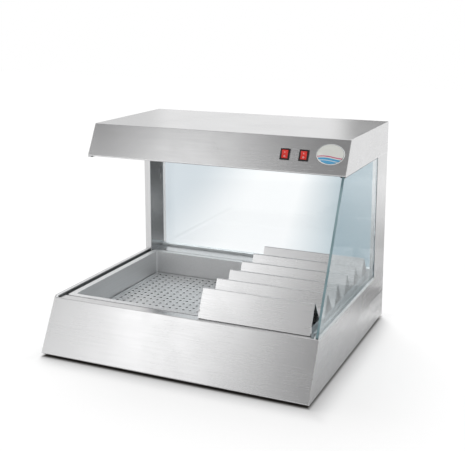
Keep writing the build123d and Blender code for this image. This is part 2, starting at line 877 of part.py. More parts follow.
with BuildPart() as tube_end_caps:
    for _, way in sides:
        with BuildSketch(Plane.YZ.offset(way * (lamp_end - cap_grip))):
            with Locations(*lamp_places):
                Circle(cap_radius)
        extrude(amount=way * cap_length)
        with BuildSketch(Plane.YZ.offset(way * (lamp_end - cap_grip))):
            with Locations(*lamp_places):
                Circle(lamp_radius)
        extrude(amount=way * cap_grip, mode=Mode.SUBTRACT)
write(tube_end_caps, "tube_end_caps")

holder_x = lamp_end - cap_grip / 2
holder_top_z = lamp_z + holder_width / 2
with BuildPart() as tube_holders:
    for _, way in sides:
        for lamp_y in lamp_ys:
            with BuildSketch(Plane.YZ.offset(way * holder_x)):
                with Locations((lamp_y, (liner_z + holder_top_z) / 2)):
                    Rectangle(holder_width, holder_top_z - liner_z)
                with Locations((lamp_y, lamp_z)):
                    Circle(cap_radius + snug_gap, mode=Mode.SUBTRACT)
            extrude(amount=way * holder_thickness)
            with BuildSketch(Plane.XY.offset(liner_z)):
                with Locations((way * (holder_x + holder_foot / 2), lamp_y)):
                    Rectangle(holder_foot, holder_width)
            extrude(amount=holder_thickness)
write(tube_holders, "tube_holders")

guard_length = reflector_length + 2 * guard_overlap
guard_width = 2 * (reflector_half + guard_overlap)
guard_pitch = guard_width / (guard_rods - 1)
guard_z = hood_z - guard_wire
cross_z = guard_z - 2 * guard_wire - guard_touch
with BuildPart() as wire_guard:
    with BuildSketch(rear_plane(reflector_mid_y - guard_length / 2)):
        with Locations((0, guard_z)):
            with GridLocations(guard_pitch, 0, guard_rods, 1):
                Circle(guard_wire)
    extrude(amount=guard_length)
    with BuildSketch(Plane.YZ.offset(-guard_width / 2 - guard_wire)):
        with Locations((reflector_mid_y, cross_z)):
            with GridLocations(reflector_length / 2, 0, 3, 1):
                Circle(guard_wire)
    extrude(amount=guard_width + 2 * guard_wire)
write(wire_guard, "wire_guard")

hood_block_x = half_width - hood_block_inset
hood_block_mid_y = lean_y(hood_z) + hood_block_setback
write(terminal_block(hood_block_x, hood_block_mid_y, liner_z), "hood_terminal_block")

loom_low_z = floor_z + loom_radius + seat_gap
loom_top_z = liner_z + loom_rise
loom_lane_x = hood_block_x + loom_lane
with BuildPart() as wiring_loom:
    with BuildLine() as loom_path:
        FilletPolyline(
            (block_x + block_length / 2, block_y, loom_low_z),
            (loom_x - 2 * loom_step, block_y, loom_low_z),
            (loom_x - loom_step, loom_y, loom_low_z),
            (loom_x, loom_y, loom_low_z),
            (loom_x, loom_y, loom_top_z),
            (loom_lane_x, loom_y, loom_top_z),
            (loom_lane_x, hood_block_mid_y + block_width / 2, loom_top_z),
            radius=loom_bends,
        )
    with BuildSketch(Plane(origin=loom_path.line @ 0, z_dir=loom_path.line % 0)):
        Circle(loom_radius)
    sweep(path=loom_path.line)
write(wiring_loom, "wiring_loom")

# ================================================================ switches and badge
tilt = radians(rocker_tilt)
rest_slope = slope - tilt
rest_dir = (0, sin(rest_slope), cos(rest_slope))
rocker_face_rise = rocker_pivot_depth + rocker_proud
rocker_end_rise = rocker_face_rise + rocker_height / 2 * tan(tilt)
rocker_reach = hypot(rocker_height / 2, rocker_end_rise)
corner_rise = rocker_face_rise + rocker_reach * tan(tilt)
opening_width = rocker_width + 2 * rocker_gap
opening_height = 2 * (rocker_reach + rocker_gap)
pivot_below = rocker_pivot_depth - bezel_thick
cavity_depth = pivot_below + rocker_root + rocker_reach * sin(tilt) + rocker_gap
pivot_half = rocker_width / 2 + rocker_gap + pivot_length

with BuildPart() as switch_tabs:
    for switch_x in switch_xs:
        with BuildSketch(face_plane(switch_x, switch_z, body_depth)):
            with GridLocations(0, tab_pitch, 1, 3):
                Rectangle(tab_width, tab_thick)
        extrude(amount=-tab_length)
write(switch_tabs, "switch_tabs")

for name, switch_x in zip(switch_names, switch_xs):
    pivot = face_plane(switch_x, switch_z, pivot_below).origin

    with BuildPart() as switch_housing:
        with BuildSketch(face_plane(switch_x, switch_z)):
            RectangleRounded(bezel_width, bezel_height, bezel_corner)
        extrude(amount=bezel_thick)
        chamfer(switch_housing.faces().sort_by(outward)[-1].edges(), bezel_edge)
        with BuildSketch(face_plane(switch_x, switch_z)):
            Rectangle(body_width, body_height)
        extrude(amount=-body_depth)
        with BuildSketch(face_plane(switch_x, switch_z, cavity_depth)):
            Rectangle(opening_width, opening_height)
        extrude(amount=cavity_depth + bezel_thick, mode=Mode.SUBTRACT)
        with BuildSketch(Plane(origin=pivot, x_dir=rest_dir, z_dir=(1, 0, 0))):
            Circle(pivot_radius + pivot_gap)
        extrude(amount=pivot_half + pivot_gap, both=True, mode=Mode.SUBTRACT)
    write(switch_housing, f"switch_housing_{name}")

    with BuildPart() as rocker:
        with BuildSketch(Plane(origin=pivot, x_dir=rest_dir, z_dir=(1, 0, 0))):
            Circle(rocker_reach)
            Polygon(
                (0, rocker_face_rise),
                (rocker_reach, corner_rise),
                (rocker_reach, -rocker_root),
                (-rocker_reach, -rocker_root),
                (-rocker_reach, corner_rise),
                align=None,
                mode=Mode.INTERSECT,
            )
        extrude(amount=rocker_width / 2, both=True)
        chamfer(rocker.faces().sort_by(Axis.X)[0].edges(), rocker_edge)
        chamfer(rocker.faces().sort_by(Axis.X)[-1].edges(), rocker_edge)
        with BuildSketch(Plane(origin=pivot, x_dir=rest_dir, z_dir=(1, 0, 0))):
            Circle(pivot_radius)
        extrude(amount=pivot_half, both=True)
    write(rocker, f"rocker_{name}")

with BuildPart() as badge_plate:
    with BuildSketch(face_plane(badge_x, badge_z)):
        Ellipse(badge_width / 2, badge_height / 2)
    extrude(amount=badge_thick)
    chamfer(badge_plate.faces().sort_by(outward)[-1].edges(), badge_edge)
write(badge_plate, "badge_plate")

# ================================================================ pan, drain plate and rack
with BuildPart() as chip_pan:
    with BuildSketch(Plane.XY.offset(deck_z - pan_depth)):
        with Locations((0, pan_mid_y)):
            RectangleRounded(pan_width, pan_length, pan_corner)
    extrude(amount=pan_depth)
    fillet(chip_pan.edges().group_by(Axis.Z)[0], pan_floor_radius)
    with BuildSketch(Plane.XY.offset(deck_z)):
        with Locations((0, pan_mid_y)):
            RectangleRounded(2 * rim_half_x, 2 * rim_half_y, pan_corner)
    extrude(amount=-deck_drop)
    with BuildSketch(Plane.XY.offset(deck_plate_z)):
        with Locations((0, pan_mid_y)):
            RectangleRounded(2 * (rim_half_x - sheet), 2 * (rim_half_y - sheet), pan_corner - sheet)
            RectangleRounded(pan_width, pan_length, pan_corner, mode=Mode.SUBTRACT)
    extrude(amount=deck_drop - sheet, mode=Mode.SUBTRACT)
    with BuildSketch(Plane.XY.offset(pan_floor_z)):
        with Locations((0, pan_mid_y)):
            RectangleRounded(pan_width - 2 * sheet, pan_length - 2 * sheet, pan_corner - sheet)
    extrude(amount=pan_depth, mode=Mode.SUBTRACT)
write(chip_pan, "chip_pan")

divider_length = pan_length - 2 * sheet - 2 * seat_gap
with BuildPart() as pan_divider:
    with BuildSketch(Plane.XZ.offset(-pan_mid_y)):
        with Locations((divider_x, pan_floor_z)):
            Rectangle(divider_foot, sheet, align=(Align.MAX, Align.MIN))
            Rectangle(sheet, deck_z - divider_drop - pan_floor_z, align=(Align.MAX, Align.MIN))
    extrude(amount=divider_length / 2, both=True)
write(pan_divider, "pan_divider")

drain_left = sheet + drain_inset - pan_half_x
drain_right = divider_x - divider_foot - drain_inset
drain_mid_x = (drain_left + drain_right) / 2
drain_width = drain_right - drain_left
drain_length = pan_length - 2 * sheet - 2 * drain_inset
drain_columns = int((drain_width - 2 * drain_margin) / drain_pitch) + 1
drain_rows = int((drain_length - 2 * drain_margin) / drain_pitch) + 1
with BuildPart() as drain_plate:
    with BuildSketch(Plane.XY.offset(pan_floor_z)):
        with Locations((drain_mid_x, pan_mid_y)):
            Rectangle(drain_width, drain_length)
    extrude(amount=drain_height)
    with BuildSketch(Plane.XY.offset(pan_floor_z)):
        with Locations((drain_mid_x, pan_mid_y)):
            Rectangle(drain_width - 2 * sheet, drain_length - 2 * sheet)
    extrude(amount=drain_height - sheet, mode=Mode.SUBTRACT)
    with BuildSketch(Plane.XY.offset(pan_floor_z + drain_height)):
        with Locations((drain_mid_x, pan_mid_y)):
            with GridLocations(drain_pitch, drain_pitch, drain_columns, drain_rows):
                Circle(drain_hole_radius)
    extrude(amount=-sheet, mode=Mode.SUBTRACT)
write(drain_plate, "drain_plate")

rack_left = divider_x - rack_left_overhang
rack_right = rim_half_x - rack_right_gap
rack_front_y = front_edge_y + rack_front_inset
rack_rear_y = rim_rear_y - rack_rear_gap
rack_pitch = (rack_rear_y - rack_front_y) / rack_teeth
valley_z = deck_z + sheet
apex_z = deck_z + rack_height
rack_line = [(rack_front_y, valley_z)]
for tooth in range(rack_teeth):
    tooth_y = rack_front_y + tooth * rack_pitch
    rack_line += [(tooth_y + rack_front_run, apex_z), (tooth_y + rack_pitch, valley_z)]
rib_left = rack_left + rail_thickness
rib_right = rack_right - rail_thickness

with BuildPart() as rack_ribs:
    with BuildSketch(Plane.YZ.offset(rib_left)):
        with BuildLine():
            FilletPolyline(*rack_line, radius=rack_bend)
            offset(amount=sheet, side=Side.RIGHT)
        make_face()
    extrude(amount=rib_right - rib_left)
write(rack_ribs, "rack_ribs")

rail_length = rack_rear_y - rack_front_y - 2 * rail_inset
with BuildPart() as rack_rails:
    for rail_x in (rack_left, rib_right):
        with BuildSketch(Plane.YZ.offset(rail_x)):
            with Locations((rack_front_y + rail_inset, deck_z)):
                Rectangle(rail_length, rail_height, align=(Align.MIN, Align.MIN))
        extrude(amount=rail_thickness)
write(rack_rails, "rack_rails")

# ================================================================ rear fasteners
with BuildPart() as rear_screws:
    for outer_y, places in ((base_rear_y, base_screws), (hood_rear_y, hood_screws)):
        with BuildSketch(rear_plane(outer_y)):
            with Locations(*places):
                Circle(screw_radius)
        extrude(amount=-screw_length)
        with BuildSketch(rear_plane(outer_y)):
            with Locations(*places):
                Circle(screw_head)
        extrude(amount=screw_head_height)
write(rear_screws, "rear_screws")
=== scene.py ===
import math

import bmesh
import bpy
import numpy as np
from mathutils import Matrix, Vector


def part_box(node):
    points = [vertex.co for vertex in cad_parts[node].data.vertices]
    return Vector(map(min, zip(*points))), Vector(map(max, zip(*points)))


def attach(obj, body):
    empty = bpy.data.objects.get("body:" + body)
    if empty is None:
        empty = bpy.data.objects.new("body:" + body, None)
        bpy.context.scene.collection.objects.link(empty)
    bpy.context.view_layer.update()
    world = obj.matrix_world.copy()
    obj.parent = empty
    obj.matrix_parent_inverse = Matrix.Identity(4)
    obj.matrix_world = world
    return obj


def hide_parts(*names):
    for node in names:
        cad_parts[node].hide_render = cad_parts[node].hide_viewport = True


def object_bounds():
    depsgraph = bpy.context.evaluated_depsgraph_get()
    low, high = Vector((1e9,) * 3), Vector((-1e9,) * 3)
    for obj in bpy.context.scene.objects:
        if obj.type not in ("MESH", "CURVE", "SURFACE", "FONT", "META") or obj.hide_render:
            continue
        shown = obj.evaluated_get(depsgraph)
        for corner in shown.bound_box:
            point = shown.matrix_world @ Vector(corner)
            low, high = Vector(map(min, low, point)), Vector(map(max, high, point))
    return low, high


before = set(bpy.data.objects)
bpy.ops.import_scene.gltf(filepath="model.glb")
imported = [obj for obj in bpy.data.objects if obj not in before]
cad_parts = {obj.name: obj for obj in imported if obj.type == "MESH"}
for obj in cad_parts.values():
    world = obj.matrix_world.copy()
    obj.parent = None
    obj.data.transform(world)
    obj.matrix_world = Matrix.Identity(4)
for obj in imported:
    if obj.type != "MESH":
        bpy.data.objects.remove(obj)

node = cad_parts
cadLow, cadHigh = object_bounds()
print("stage: frame loaded,", len(node), "nodes")

plainWhite = (1, 1, 1, 1)

# the hood's front leans back by this much, and the three vectors run across it, up it and out of it
frontLean = math.radians(27)
acrossFace = np.array((1.0, 0.0, 0.0))
upFace = np.array((0.0, math.sin(frontLean), math.cos(frontLean)))
outOfFace = np.array((0.0, -math.cos(frontLean), math.sin(frontLean)))


def put(tree, kind, inputs=None, **settings):
    # a node with its settings, where an input may be a value or the socket that feeds it
    made = tree.nodes.new(kind)
    for key, value in settings.items():
        setattr(made, key, value)
    for key, value in (inputs or {}).items():
        if isinstance(value, bpy.types.NodeSocket):
            tree.links.new(value, made.inputs[key])
        else:
            made.inputs[key].default_value = value
    return made


def calc(tree, operation, *values):
    # one step of arithmetic on numbers
    return put(tree, "ShaderNodeMath", dict(enumerate(values)), operation=operation).outputs[0]


def blendColour(tree, factor, first, second):
    return put(tree, "ShaderNodeMix", {0: factor, 6: first, 7: second}, data_type="RGBA").outputs[2]


def remap(tree, value, low, high, toLow=0.0, toHigh=1.0, shape="LINEAR"):
    inputs = {"Value": value, "From Min": low, "From Max": high, "To Min": toLow, "To Max": toHigh}
    return put(tree, "ShaderNodeMapRange", inputs, interpolation_type=shape).outputs[0]


def noise(tree, vector, scale, detail):
    # its first output is a number, and its second a colour
    return put(tree, "ShaderNodeTexNoise", {"Vector": vector, "Scale": scale, "Detail": detail}).outputs


def bumped(tree, height, strength, depth):
    return put(tree, "ShaderNodeBump", {"Height": height, "Strength": strength, "Distance": depth}).outputs[0]


def objectPlace(tree):
    return tree.nodes.new("ShaderNodeTexCoord").outputs["Object"]


def splitVector(tree, vector):
    return put(tree, "ShaderNodeSeparateXYZ", {0: vector}).outputs


def rayKinds(tree):
    path = tree.nodes.new("ShaderNodeLightPath")
    return [path.outputs[name] for name in ("Is Camera Ray", "Is Glossy Ray", "Is Transmission Ray")]


def hasMet(tree, depth, steps=0.5):
    # 1 for a ray that took more than this many steps of one kind before it came here, and 0 for others
    return calc(tree, "GREATER_THAN", tree.nodes.new("ShaderNodeLightPath").outputs[depth], steps)


def newGroup(name, inputs, outputs):
    tree = bpy.data.node_groups.new(name, "ShaderNodeTree")
    kinds = {"vector": "NodeSocketVector", "number": "NodeSocketFloat"}
    for socketName, kind in inputs:
        tree.interface.new_socket(name=socketName, in_out="INPUT", socket_type=kinds[kind])
    for socketName, kind in outputs:
        tree.interface.new_socket(name=socketName, in_out="OUTPUT", socket_type=kinds[kind])
    return tree, tree.nodes.new("NodeGroupInput"), tree.nodes.new("NodeGroupOutput")


def useGroup(tree, group, inputs):
    return put(tree, "ShaderNodeGroup", inputs, node_tree=group)


def newMaterial(name):
    made = bpy.data.materials.new(name)
    made.use_nodes = True
    made.node_tree.nodes.clear()
    return made, made.node_tree


def closeMaterial(tree, surface, volume=None):
    out = put(tree, "ShaderNodeOutputMaterial", {"Surface": surface})
    if volume is not None:
        tree.links.new(volume, out.inputs["Volume"])


def closePrincipled(tree, inputs):
    closeMaterial(tree, put(tree, "ShaderNodeBsdfPrincipled", inputs).outputs[0])


def paint(material, *names):
    for name in names:
        node[name].data.materials.clear()
        node[name].data.materials.append(material)


# the effects that several materials share
grainLook = {"scratch": 6.0, "streak": (0.3, 0.7)}
wearAndHighlightLook = {"samples": 4, "edge": (0.99, 0.8), "patch": (0.3, 0.6), "least": 0.35}
handlingLook = {"bend": 9.0, "shift": 0.12, "patch": (0.35, 0.7)}
mouldedLook = {"shade": 40.0}


def buildBrushedGrain():
    # two noises on a stretched space: fine scratches, and broad streaks left by the brushing belt
    tree, given, out = newGroup(
        "brushedGrain", [("Vector", "vector"), ("Belt", "number")], [("Scratch", "number"), ("Streak", "number")]
    )
    scratch = noise(tree, given.outputs[0], grainLook["scratch"], 2.0)
    belt = noise(tree, given.outputs[0], given.outputs[1], 3.0)
    tree.links.new(scratch[0], out.inputs[0])
    tree.links.new(remap(tree, belt[0], *grainLook["streak"]), out.inputs[1])
    return tree


def buildEdgeWearAndHighlight():
    # the edges come out lighter, partly as wear and partly as a painted highlight along them
    # a rounded normal leaves the flat one near an edge, so their dot product falls there
    tree, given, out = newGroup(
        "edgeWearAndHighlight", [("Radius", "number"), ("Vector", "vector"), ("Patch Scale", "number")], [("Wear", "number")]
    )
    bevel = put(tree, "ShaderNodeBevel", {"Radius": given.outputs[0]}, samples=wearAndHighlightLook["samples"])
    flat = tree.nodes.new("ShaderNodeNewGeometry").outputs["Normal"]
    dot = put(tree, "ShaderNodeVectorMath", {0: bevel.outputs[0], 1: flat}, operation="DOT_PRODUCT")
    edge = remap(tree, dot.outputs["Value"], *wearAndHighlightLook["edge"])
    patch = noise(tree, given.outputs[1], given.outputs[2], 4.0)
    worn = remap(tree, patch[0], *wearAndHighlightLook["patch"], wearAndHighlightLook["least"])
    tree.links.new(calc(tree, "MULTIPLY", edge, worn), out.inputs[0])
    return tree


def buildHandling():
    # smudges and faint wiped patches: a coarse noise bent by a finer one
    tree, given, out = newGroup("handling", [("Vector", "vector"), ("Scale", "number")], [("Smudge", "number")])
    bend = noise(tree, given.outputs[0], handlingLook["bend"], 2.0)
    shift = (handlingLook["shift"],) * 3
    moved = put(tree, "ShaderNodeVectorMath", {0: bend[1], 1: shift}, operation="MULTIPLY")
    place = put(tree, "ShaderNodeVectorMath", {0: given.outputs[0], 1: moved.outputs[0]}, operation="ADD")
    patch = noise(tree, place.outputs[0], given.outputs[1], 5.0)
    tree.links.new(remap(tree, patch[0], *handlingLook["patch"]), out.inputs[0])
    return tree


def buildMoulded():
    # the fine spark texture of a moulded part, with a slight change of shade
    tree, given, out = newGroup(
        "moulded", [("Vector", "vector"), ("Scale", "number")], [("Spark", "number"), ("Shade", "number")]
    )
    spark = noise(tree, given.outputs[0], given.outputs[1], 2.0)
    shade = noise(tree, given.outputs[0], mouldedLook["shade"], 3.0)
    tree.links.new(spark[0], out.inputs[0])
    tree.links.new(shade[0], out.inputs[1])
    return tree


brushedGrain = buildBrushedGrain()
edgeWearAndHighlight = buildEdgeWearAndHighlight()
handling = buildHandling()
moulded = buildMoulded()

# metals: the way the brushing runs, base shade, roughness, depth of the streaks, and bump
brushing = {"x": (2.0, 260.0, 260.0), "y": (260.0, 2.0, 260.0), "z": (260.0, 260.0, 2.0)}
metals = {
    "brushedAcross": {"along": "x", "colour": (0.66, 0.66, 0.665), "rough": 0.22, "streak": 0.016, "bump": 0.016},
    "brushedSide": {"along": "y", "colour": (0.68, 0.68, 0.685), "rough": 0.24, "streak": 0.012, "bump": 0.012},
    "brushedPost": {"along": "z", "colour": (0.66, 0.66, 0.665), "rough": 0.22, "streak": 0.04, "bump": 0.05},
    # the pan's paler shade is partly its satin steel and partly painted light, lifting its inside that the hood shades
    "pressedPan": {"along": "y", "colour": (0.83, 0.835, 0.84), "rough": 0.50, "streak": 0.03, "bump": 0.05},
    "channelSheet": {"along": "y", "colour": (0.20, 0.205, 0.21), "rough": 0.34, "streak": 0.06, "bump": 0.05},
    "foldedRack": {"along": "x", "colour": (0.73, 0.73, 0.735), "rough": 0.25, "streak": 0.010, "bump": 0.008},
    "millSheet": {"along": "x", "colour": (0.66, 0.67, 0.68), "rough": 0.42, "streak": 0.08, "bump": 0.10},
    "drawnTube": {"along": "z", "colour": (0.42, 0.43, 0.44), "rough": 0.45, "streak": 0.12, "bump": 0.12},
    "brightReflector": {"along": "x", "colour": (0.86, 0.87, 0.88), "rough": 0.16, "streak": 0.05, "bump": 0.05},
    "satinStrip": {"along": "y", "colour": (0.82, 0.83, 0.84), "rough": 0.30, "streak": 0.05, "bump": 0.05},
    "platedWire": {"along": "y", "colour": (0.74, 0.74, 0.75), "rough": 0.18, "streak": 0.05, "bump": 0.03},
    "zincPlate": {"along": "z", "colour": (0.66, 0.68, 0.70), "rough": 0.36, "streak": 0.12, "bump": 0.10},
    "turnedBrass": {"along": "y", "colour": (0.76, 0.56, 0.28), "rough": 0.30, "streak": 0.10, "bump": 0.08},
    "heaterSheath": {"along": "x", "colour": (0.20, 0.19, 0.19), "rough": 0.50, "streak": 0.20, "bump": 0.15},
}
metalSkin = {
    "belt": 1.1,
    "edgeRadius": 0.0016,
    "patch": 30.0,
    "smudge": 5.0,
    "edgeGain": 1.32,
    "smudgeMix": 0.35,
    "smudgeGain": 0.93,
    "scratchRough": 0.02,
    "smudgeRough": 0.06,
    "depth": 0.0003,
}


def makeMetal(name, look):
    # the base shade is lighter or darker by the belt streaks and smudges, and lighter at edges by wear and a painted
    # highlight; roughness follows the scratches
    made, tree = newMaterial(name)
    place, skin = objectPlace(tree), metalSkin
    stretched = put(tree, "ShaderNodeMapping", {"Vector": place, "Scale": brushing[look["along"]]}).outputs[0]
    grain = useGroup(tree, brushedGrain, {"Vector": stretched, "Belt": skin["belt"]})
    wearAndHighlight = useGroup(tree, edgeWearAndHighlight, {"Radius": skin["edgeRadius"], "Vector": place, "Patch Scale": skin["patch"]})
    smudge = useGroup(tree, handling, {"Vector": place, "Scale": skin["smudge"]}).outputs[0]
    colour, spread = np.array(look["colour"]), look["streak"]
    gains = (1 - spread, 1 + spread, skin["edgeGain"])
    dark, light, edge = [(*np.clip(colour * gain, 0, 1), 1) for gain in gains]
    dull = (*(colour * skin["smudgeGain"]), 1)
    shade = blendColour(tree, grain.outputs["Streak"], dark, light)
    shade = blendColour(tree, remap(tree, smudge, 0, 1, 0, skin["smudgeMix"]), shade, dull)
    # edges lighter: partly wear, partly a painted highlight
    shade = blendColour(tree, wearAndHighlight.outputs[0], shade, edge)
    low, high = look["rough"] - skin["scratchRough"], look["rough"] + skin["scratchRough"]
    rough = remap(tree, grain.outputs["Scratch"], 0.3, 0.7, low, high)
    rough = calc(tree, "MULTIPLY_ADD", smudge, skin["smudgeRough"], rough)
    bump = bumped(tree, grain.outputs["Scratch"], look["bump"], skin["depth"])
    closePrincipled(tree, {"Base Color": shade, "Roughness": rough, "Metallic": 1.0, "Normal": bump})
    return made


metal = {name: makeMetal(name, look) for name, look in metals.items()}
paint(metal["brushedAcross"], "base_front_panel", "hood_shell", "deck_frame", "rear_deck")
paint(metal["brushedAcross"], "base_rear_panel", "hood_rear_cover")
paint(metal["channelSheet"], "lower_channel_left", "upper_channel_left")
paint(metal["brushedSide"], "base_side_left", "base_side_right", "hood_side_left", "hood_side_right")
paint(metal["brushedPost"], "post_cover_left", "post_cover_right")
paint(metal["pressedPan"], "chip_pan", "pan_divider", "drain_plate")
paint(metal["foldedRack"], "rack_ribs", "rack_rails")
paint(metal["millSheet"], "base_bottom_plate", "well_liner", "hood_liner", "tube_holders", "element_brackets")
paint(metal["drawnTube"], "post_frame_left", "post_frame_right", "post_foot_left", "post_foot_right")
paint(metal["brightReflector"], "reflector")
paint(metal["satinStrip"], "left_channel_strips")
paint(metal["platedWire"], "wire_guard")
paint(metal["zincPlate"], "foot_nuts", "foot_screws", "rear_screws")
paint(metal["turnedBrass"], "bonding_stud", "element_glands", "switch_tabs")
paint(metal["heaterSheath"], "heating_element")
print("stage: metals done")

# plastics, rubber, ceramic and wool: base shade, roughness, how fine the spark texture is, bump, and coat
mouldings = {
    "channelBlack": {"colour": (0.020, 0.020, 0.022), "rough": 0.38, "scale": 900.0, "bump": 0.15, "coat": 0.0},
    "channelGrey": {"colour": (0.84, 0.88, 0.90), "rough": 0.35, "scale": 900.0, "bump": 0.15, "coat": 0.0},
    "switchBlack": {"colour": (0.010, 0.009, 0.010), "rough": 0.50, "scale": 1400.0, "bump": 0.10, "coat": 0.0},
    "rockerRed": {"colour": (0.80, 0.030, 0.020), "rough": 0.30, "scale": 1200.0, "bump": 0.04, "coat": 0.2},
    "glandGrey": {"colour": (0.060, 0.062, 0.066), "rough": 0.45, "scale": 900.0, "bump": 0.25, "coat": 0.0},
    "paleMoulding": {"colour": (0.72, 0.68, 0.58), "rough": 0.45, "scale": 800.0, "bump": 0.20, "coat": 0.0},
    "footRubber": {"colour": (0.022, 0.022, 0.022), "rough": 0.72, "scale": 700.0, "bump": 0.45, "coat": 0.0},
    "loomSleeve": {"colour": (0.030, 0.030, 0.032), "rough": 0.60, "scale": 600.0, "bump": 0.35, "coat": 0.0},
    "capCeramic": {"colour": (0.84, 0.82, 0.76), "rough": 0.55, "scale": 500.0, "bump": 0.30, "coat": 0.1},
    "mineralWool": {"colour": (0.62, 0.55, 0.36), "rough": 0.95, "scale": 160.0, "bump": 1.00, "coat": 0.0},
    "markWhite": {"colour": (0.86, 0.80, 0.78), "rough": 0.40, "scale": 1200.0, "bump": 0.05, "coat": 0.0},
}
mouldingSkin = {
    "edgeRadius": 0.0006,
    "patch": 60.0,
    "gains": ((0.85, 0), (1.15, 0), (1.3, 0.02)),
    "roughSpread": 0.04,
    "depth": 0.0004,
}


def makeMoulding(name, look):
    # colour and roughness drift a little over the part, and the spark texture is its bump
    made, tree = newMaterial(name)
    place = objectPlace(tree)
    skin = useGroup(tree, moulded, {"Vector": place, "Scale": look["scale"]})
    wearAndHighlightInputs = {"Radius": mouldingSkin["edgeRadius"], "Vector": place, "Patch Scale": mouldingSkin["patch"]}
    wearAndHighlight = useGroup(tree, edgeWearAndHighlight, wearAndHighlightInputs)
    colour, spread = np.array(look["colour"]), mouldingSkin["roughSpread"]
    dark, light, edge = [(*np.clip(colour * gain + lift, 0, 1), 1) for gain, lift in mouldingSkin["gains"]]
    shade = blendColour(tree, skin.outputs["Shade"], dark, light)
    # edges lighter: partly wear, partly a painted highlight
    shade = blendColour(tree, wearAndHighlight.outputs[0], shade, edge)
    rough = remap(tree, skin.outputs["Shade"], 0.3, 0.7, look["rough"] - spread, look["rough"] + spread)
    bump = bumped(tree, skin.outputs["Spark"], look["bump"], mouldingSkin["depth"])
    closePrincipled(tree, {"Base Color": shade, "Roughness": rough, "Normal": bump, "Coat Weight": look["coat"]})
    return made


moulding = {name: makeMoulding(name, look) for name, look in mouldings.items()}
paint(moulding["channelBlack"], "upper_rear_channel", "upper_channel_right")
paint(moulding["channelGrey"], "lower_channel_right", "lower_rear_channel")
paint(moulding["switchBlack"], "switch_housing_lamp", "switch_housing_base")
paint(moulding["rockerRed"], "rocker_lamp", "rocker_base")
paint(moulding["glandGrey"], "cable_gland")
paint(moulding["paleMoulding"], "base_terminal_block", "hood_terminal_block", "limit_thermostat")
paint(moulding["footRubber"], "rubber_feet")
paint(moulding["loomSleeve"], "wiring_loom")
paint(moulding["capCeramic"], "tube_end_caps")
paint(moulding["mineralWool"], "insulation_blanket")
print("stage: mouldings done")

# glass: tint of the surface, shade and density of the body, and roughness
glasses = {
    "paneGlass": {"tint": (0.95, 0.97, 0.98, 1), "deep": (0.40, 0.68, 0.72, 1), "density": 3.0, "rough": 0.01},
    "sidePane": {"tint": (0.86, 0.91, 0.93, 1), "deep": (0.30, 0.62, 0.66, 1), "density": 4.0, "rough": 0.01},
    "quartzTube": {"tint": (0.96, 0.96, 0.95, 1), "deep": (0.90, 0.88, 0.86, 1), "density": 2.0, "rough": 0.06},
}
glassFilm = {"scale": 4.0, "rough": 0.015}


def makeGlass(name, look):
    # plain clear glass whose colour deepens along its edges by absorption; rays to the lamps, and those that a mirror
    # has turned already, pass straight through
    made, tree = newMaterial(name)
    film = useGroup(tree, handling, {"Vector": objectPlace(tree), "Scale": glassFilm["scale"]})
    rough = remap(tree, film.outputs[0], 0, 1, look["rough"], look["rough"] + glassFilm["rough"])
    inputs = {"Base Color": look["tint"], "Roughness": rough, "IOR": 1.5, "Transmission Weight": 1.0}
    clear = put(tree, "ShaderNodeBsdfPrincipled", inputs)
    through = put(tree, "ShaderNodeBsdfTransparent", {"Color": look["tint"]})
    shadow = tree.nodes.new("ShaderNodeLightPath").outputs["Is Shadow Ray"]
    straight = calc(tree, "MAXIMUM", shadow, hasMet(tree, "Glossy Depth"))
    surface = put(tree, "ShaderNodeMixShader", {0: straight, 1: clear.outputs[0], 2: through.outputs[0]})
    volume = put(tree, "ShaderNodeVolumeAbsorption", {"Color": look["deep"], "Density": look["density"]})
    closeMaterial(tree, surface.outputs[0], volume.outputs[0])
    return made


glass = {name: makeGlass(name, look) for name, look in glasses.items()}
paint(glass["paneGlass"], "back_glass")
paint(glass["sidePane"], "right_glass")
paint(glass["quartzTube"], "infrared_tubes")
print("stage: glass done")


def gridMesh(name, points, closeU=False, closeV=False, uv=None):
    # points is a rows x columns x 3 array, and each cell between neighbours is one quad
    rows, columns = points.shape[:2]
    index = np.arange(rows * columns).reshape(rows, columns)
    if closeU:
        index = np.concatenate([index, index[:1]], axis=0)
    if closeV:
        index = np.concatenate([index, index[:, :1]], axis=1)
    quads = np.stack([index[:-1, :-1], index[:-1, 1:], index[1:, 1:], index[1:, :-1]], axis=-1).reshape(-1, 4)
    mesh = bpy.data.meshes.new(name)
    mesh.vertices.add(rows * columns)
    mesh.vertices.foreach_set("co", points.reshape(-1).astype(np.float32))
    mesh.loops.add(quads.size)
    mesh.loops.foreach_set("vertex_index", quads.reshape(-1).astype(np.int32))
    mesh.polygons.add(len(quads))
    mesh.polygons.foreach_set("loop_start", np.arange(0, quads.size, 4, dtype=np.int32))
    if uv is not None:
        layer = mesh.uv_layers.new(name="UVMap")
        layer.data.foreach_set("uv", uv.reshape(-1, 2)[quads.reshape(-1)].reshape(-1).astype(np.float32))
    mesh.update(calc_edges=True)
    mesh.validate()
    return mesh


def smoothFaces(mesh):
    mesh.polygons.foreach_set("use_smooth", np.full(len(mesh.polygons), True))
    return mesh


def tidyMesh(mesh, merge=1e-6):
    # poles and seams are merged, and every face is turned outwards
    work = bmesh.new()
    work.from_mesh(mesh)
    bmesh.ops.remove_doubles(work, verts=work.verts, dist=merge)
    bmesh.ops.dissolve_degenerate(work, edges=work.edges, dist=merge)
    bmesh.ops.recalc_face_normals(work, faces=work.faces)
    work.to_mesh(mesh)
    work.free()
    return smoothFaces(mesh)


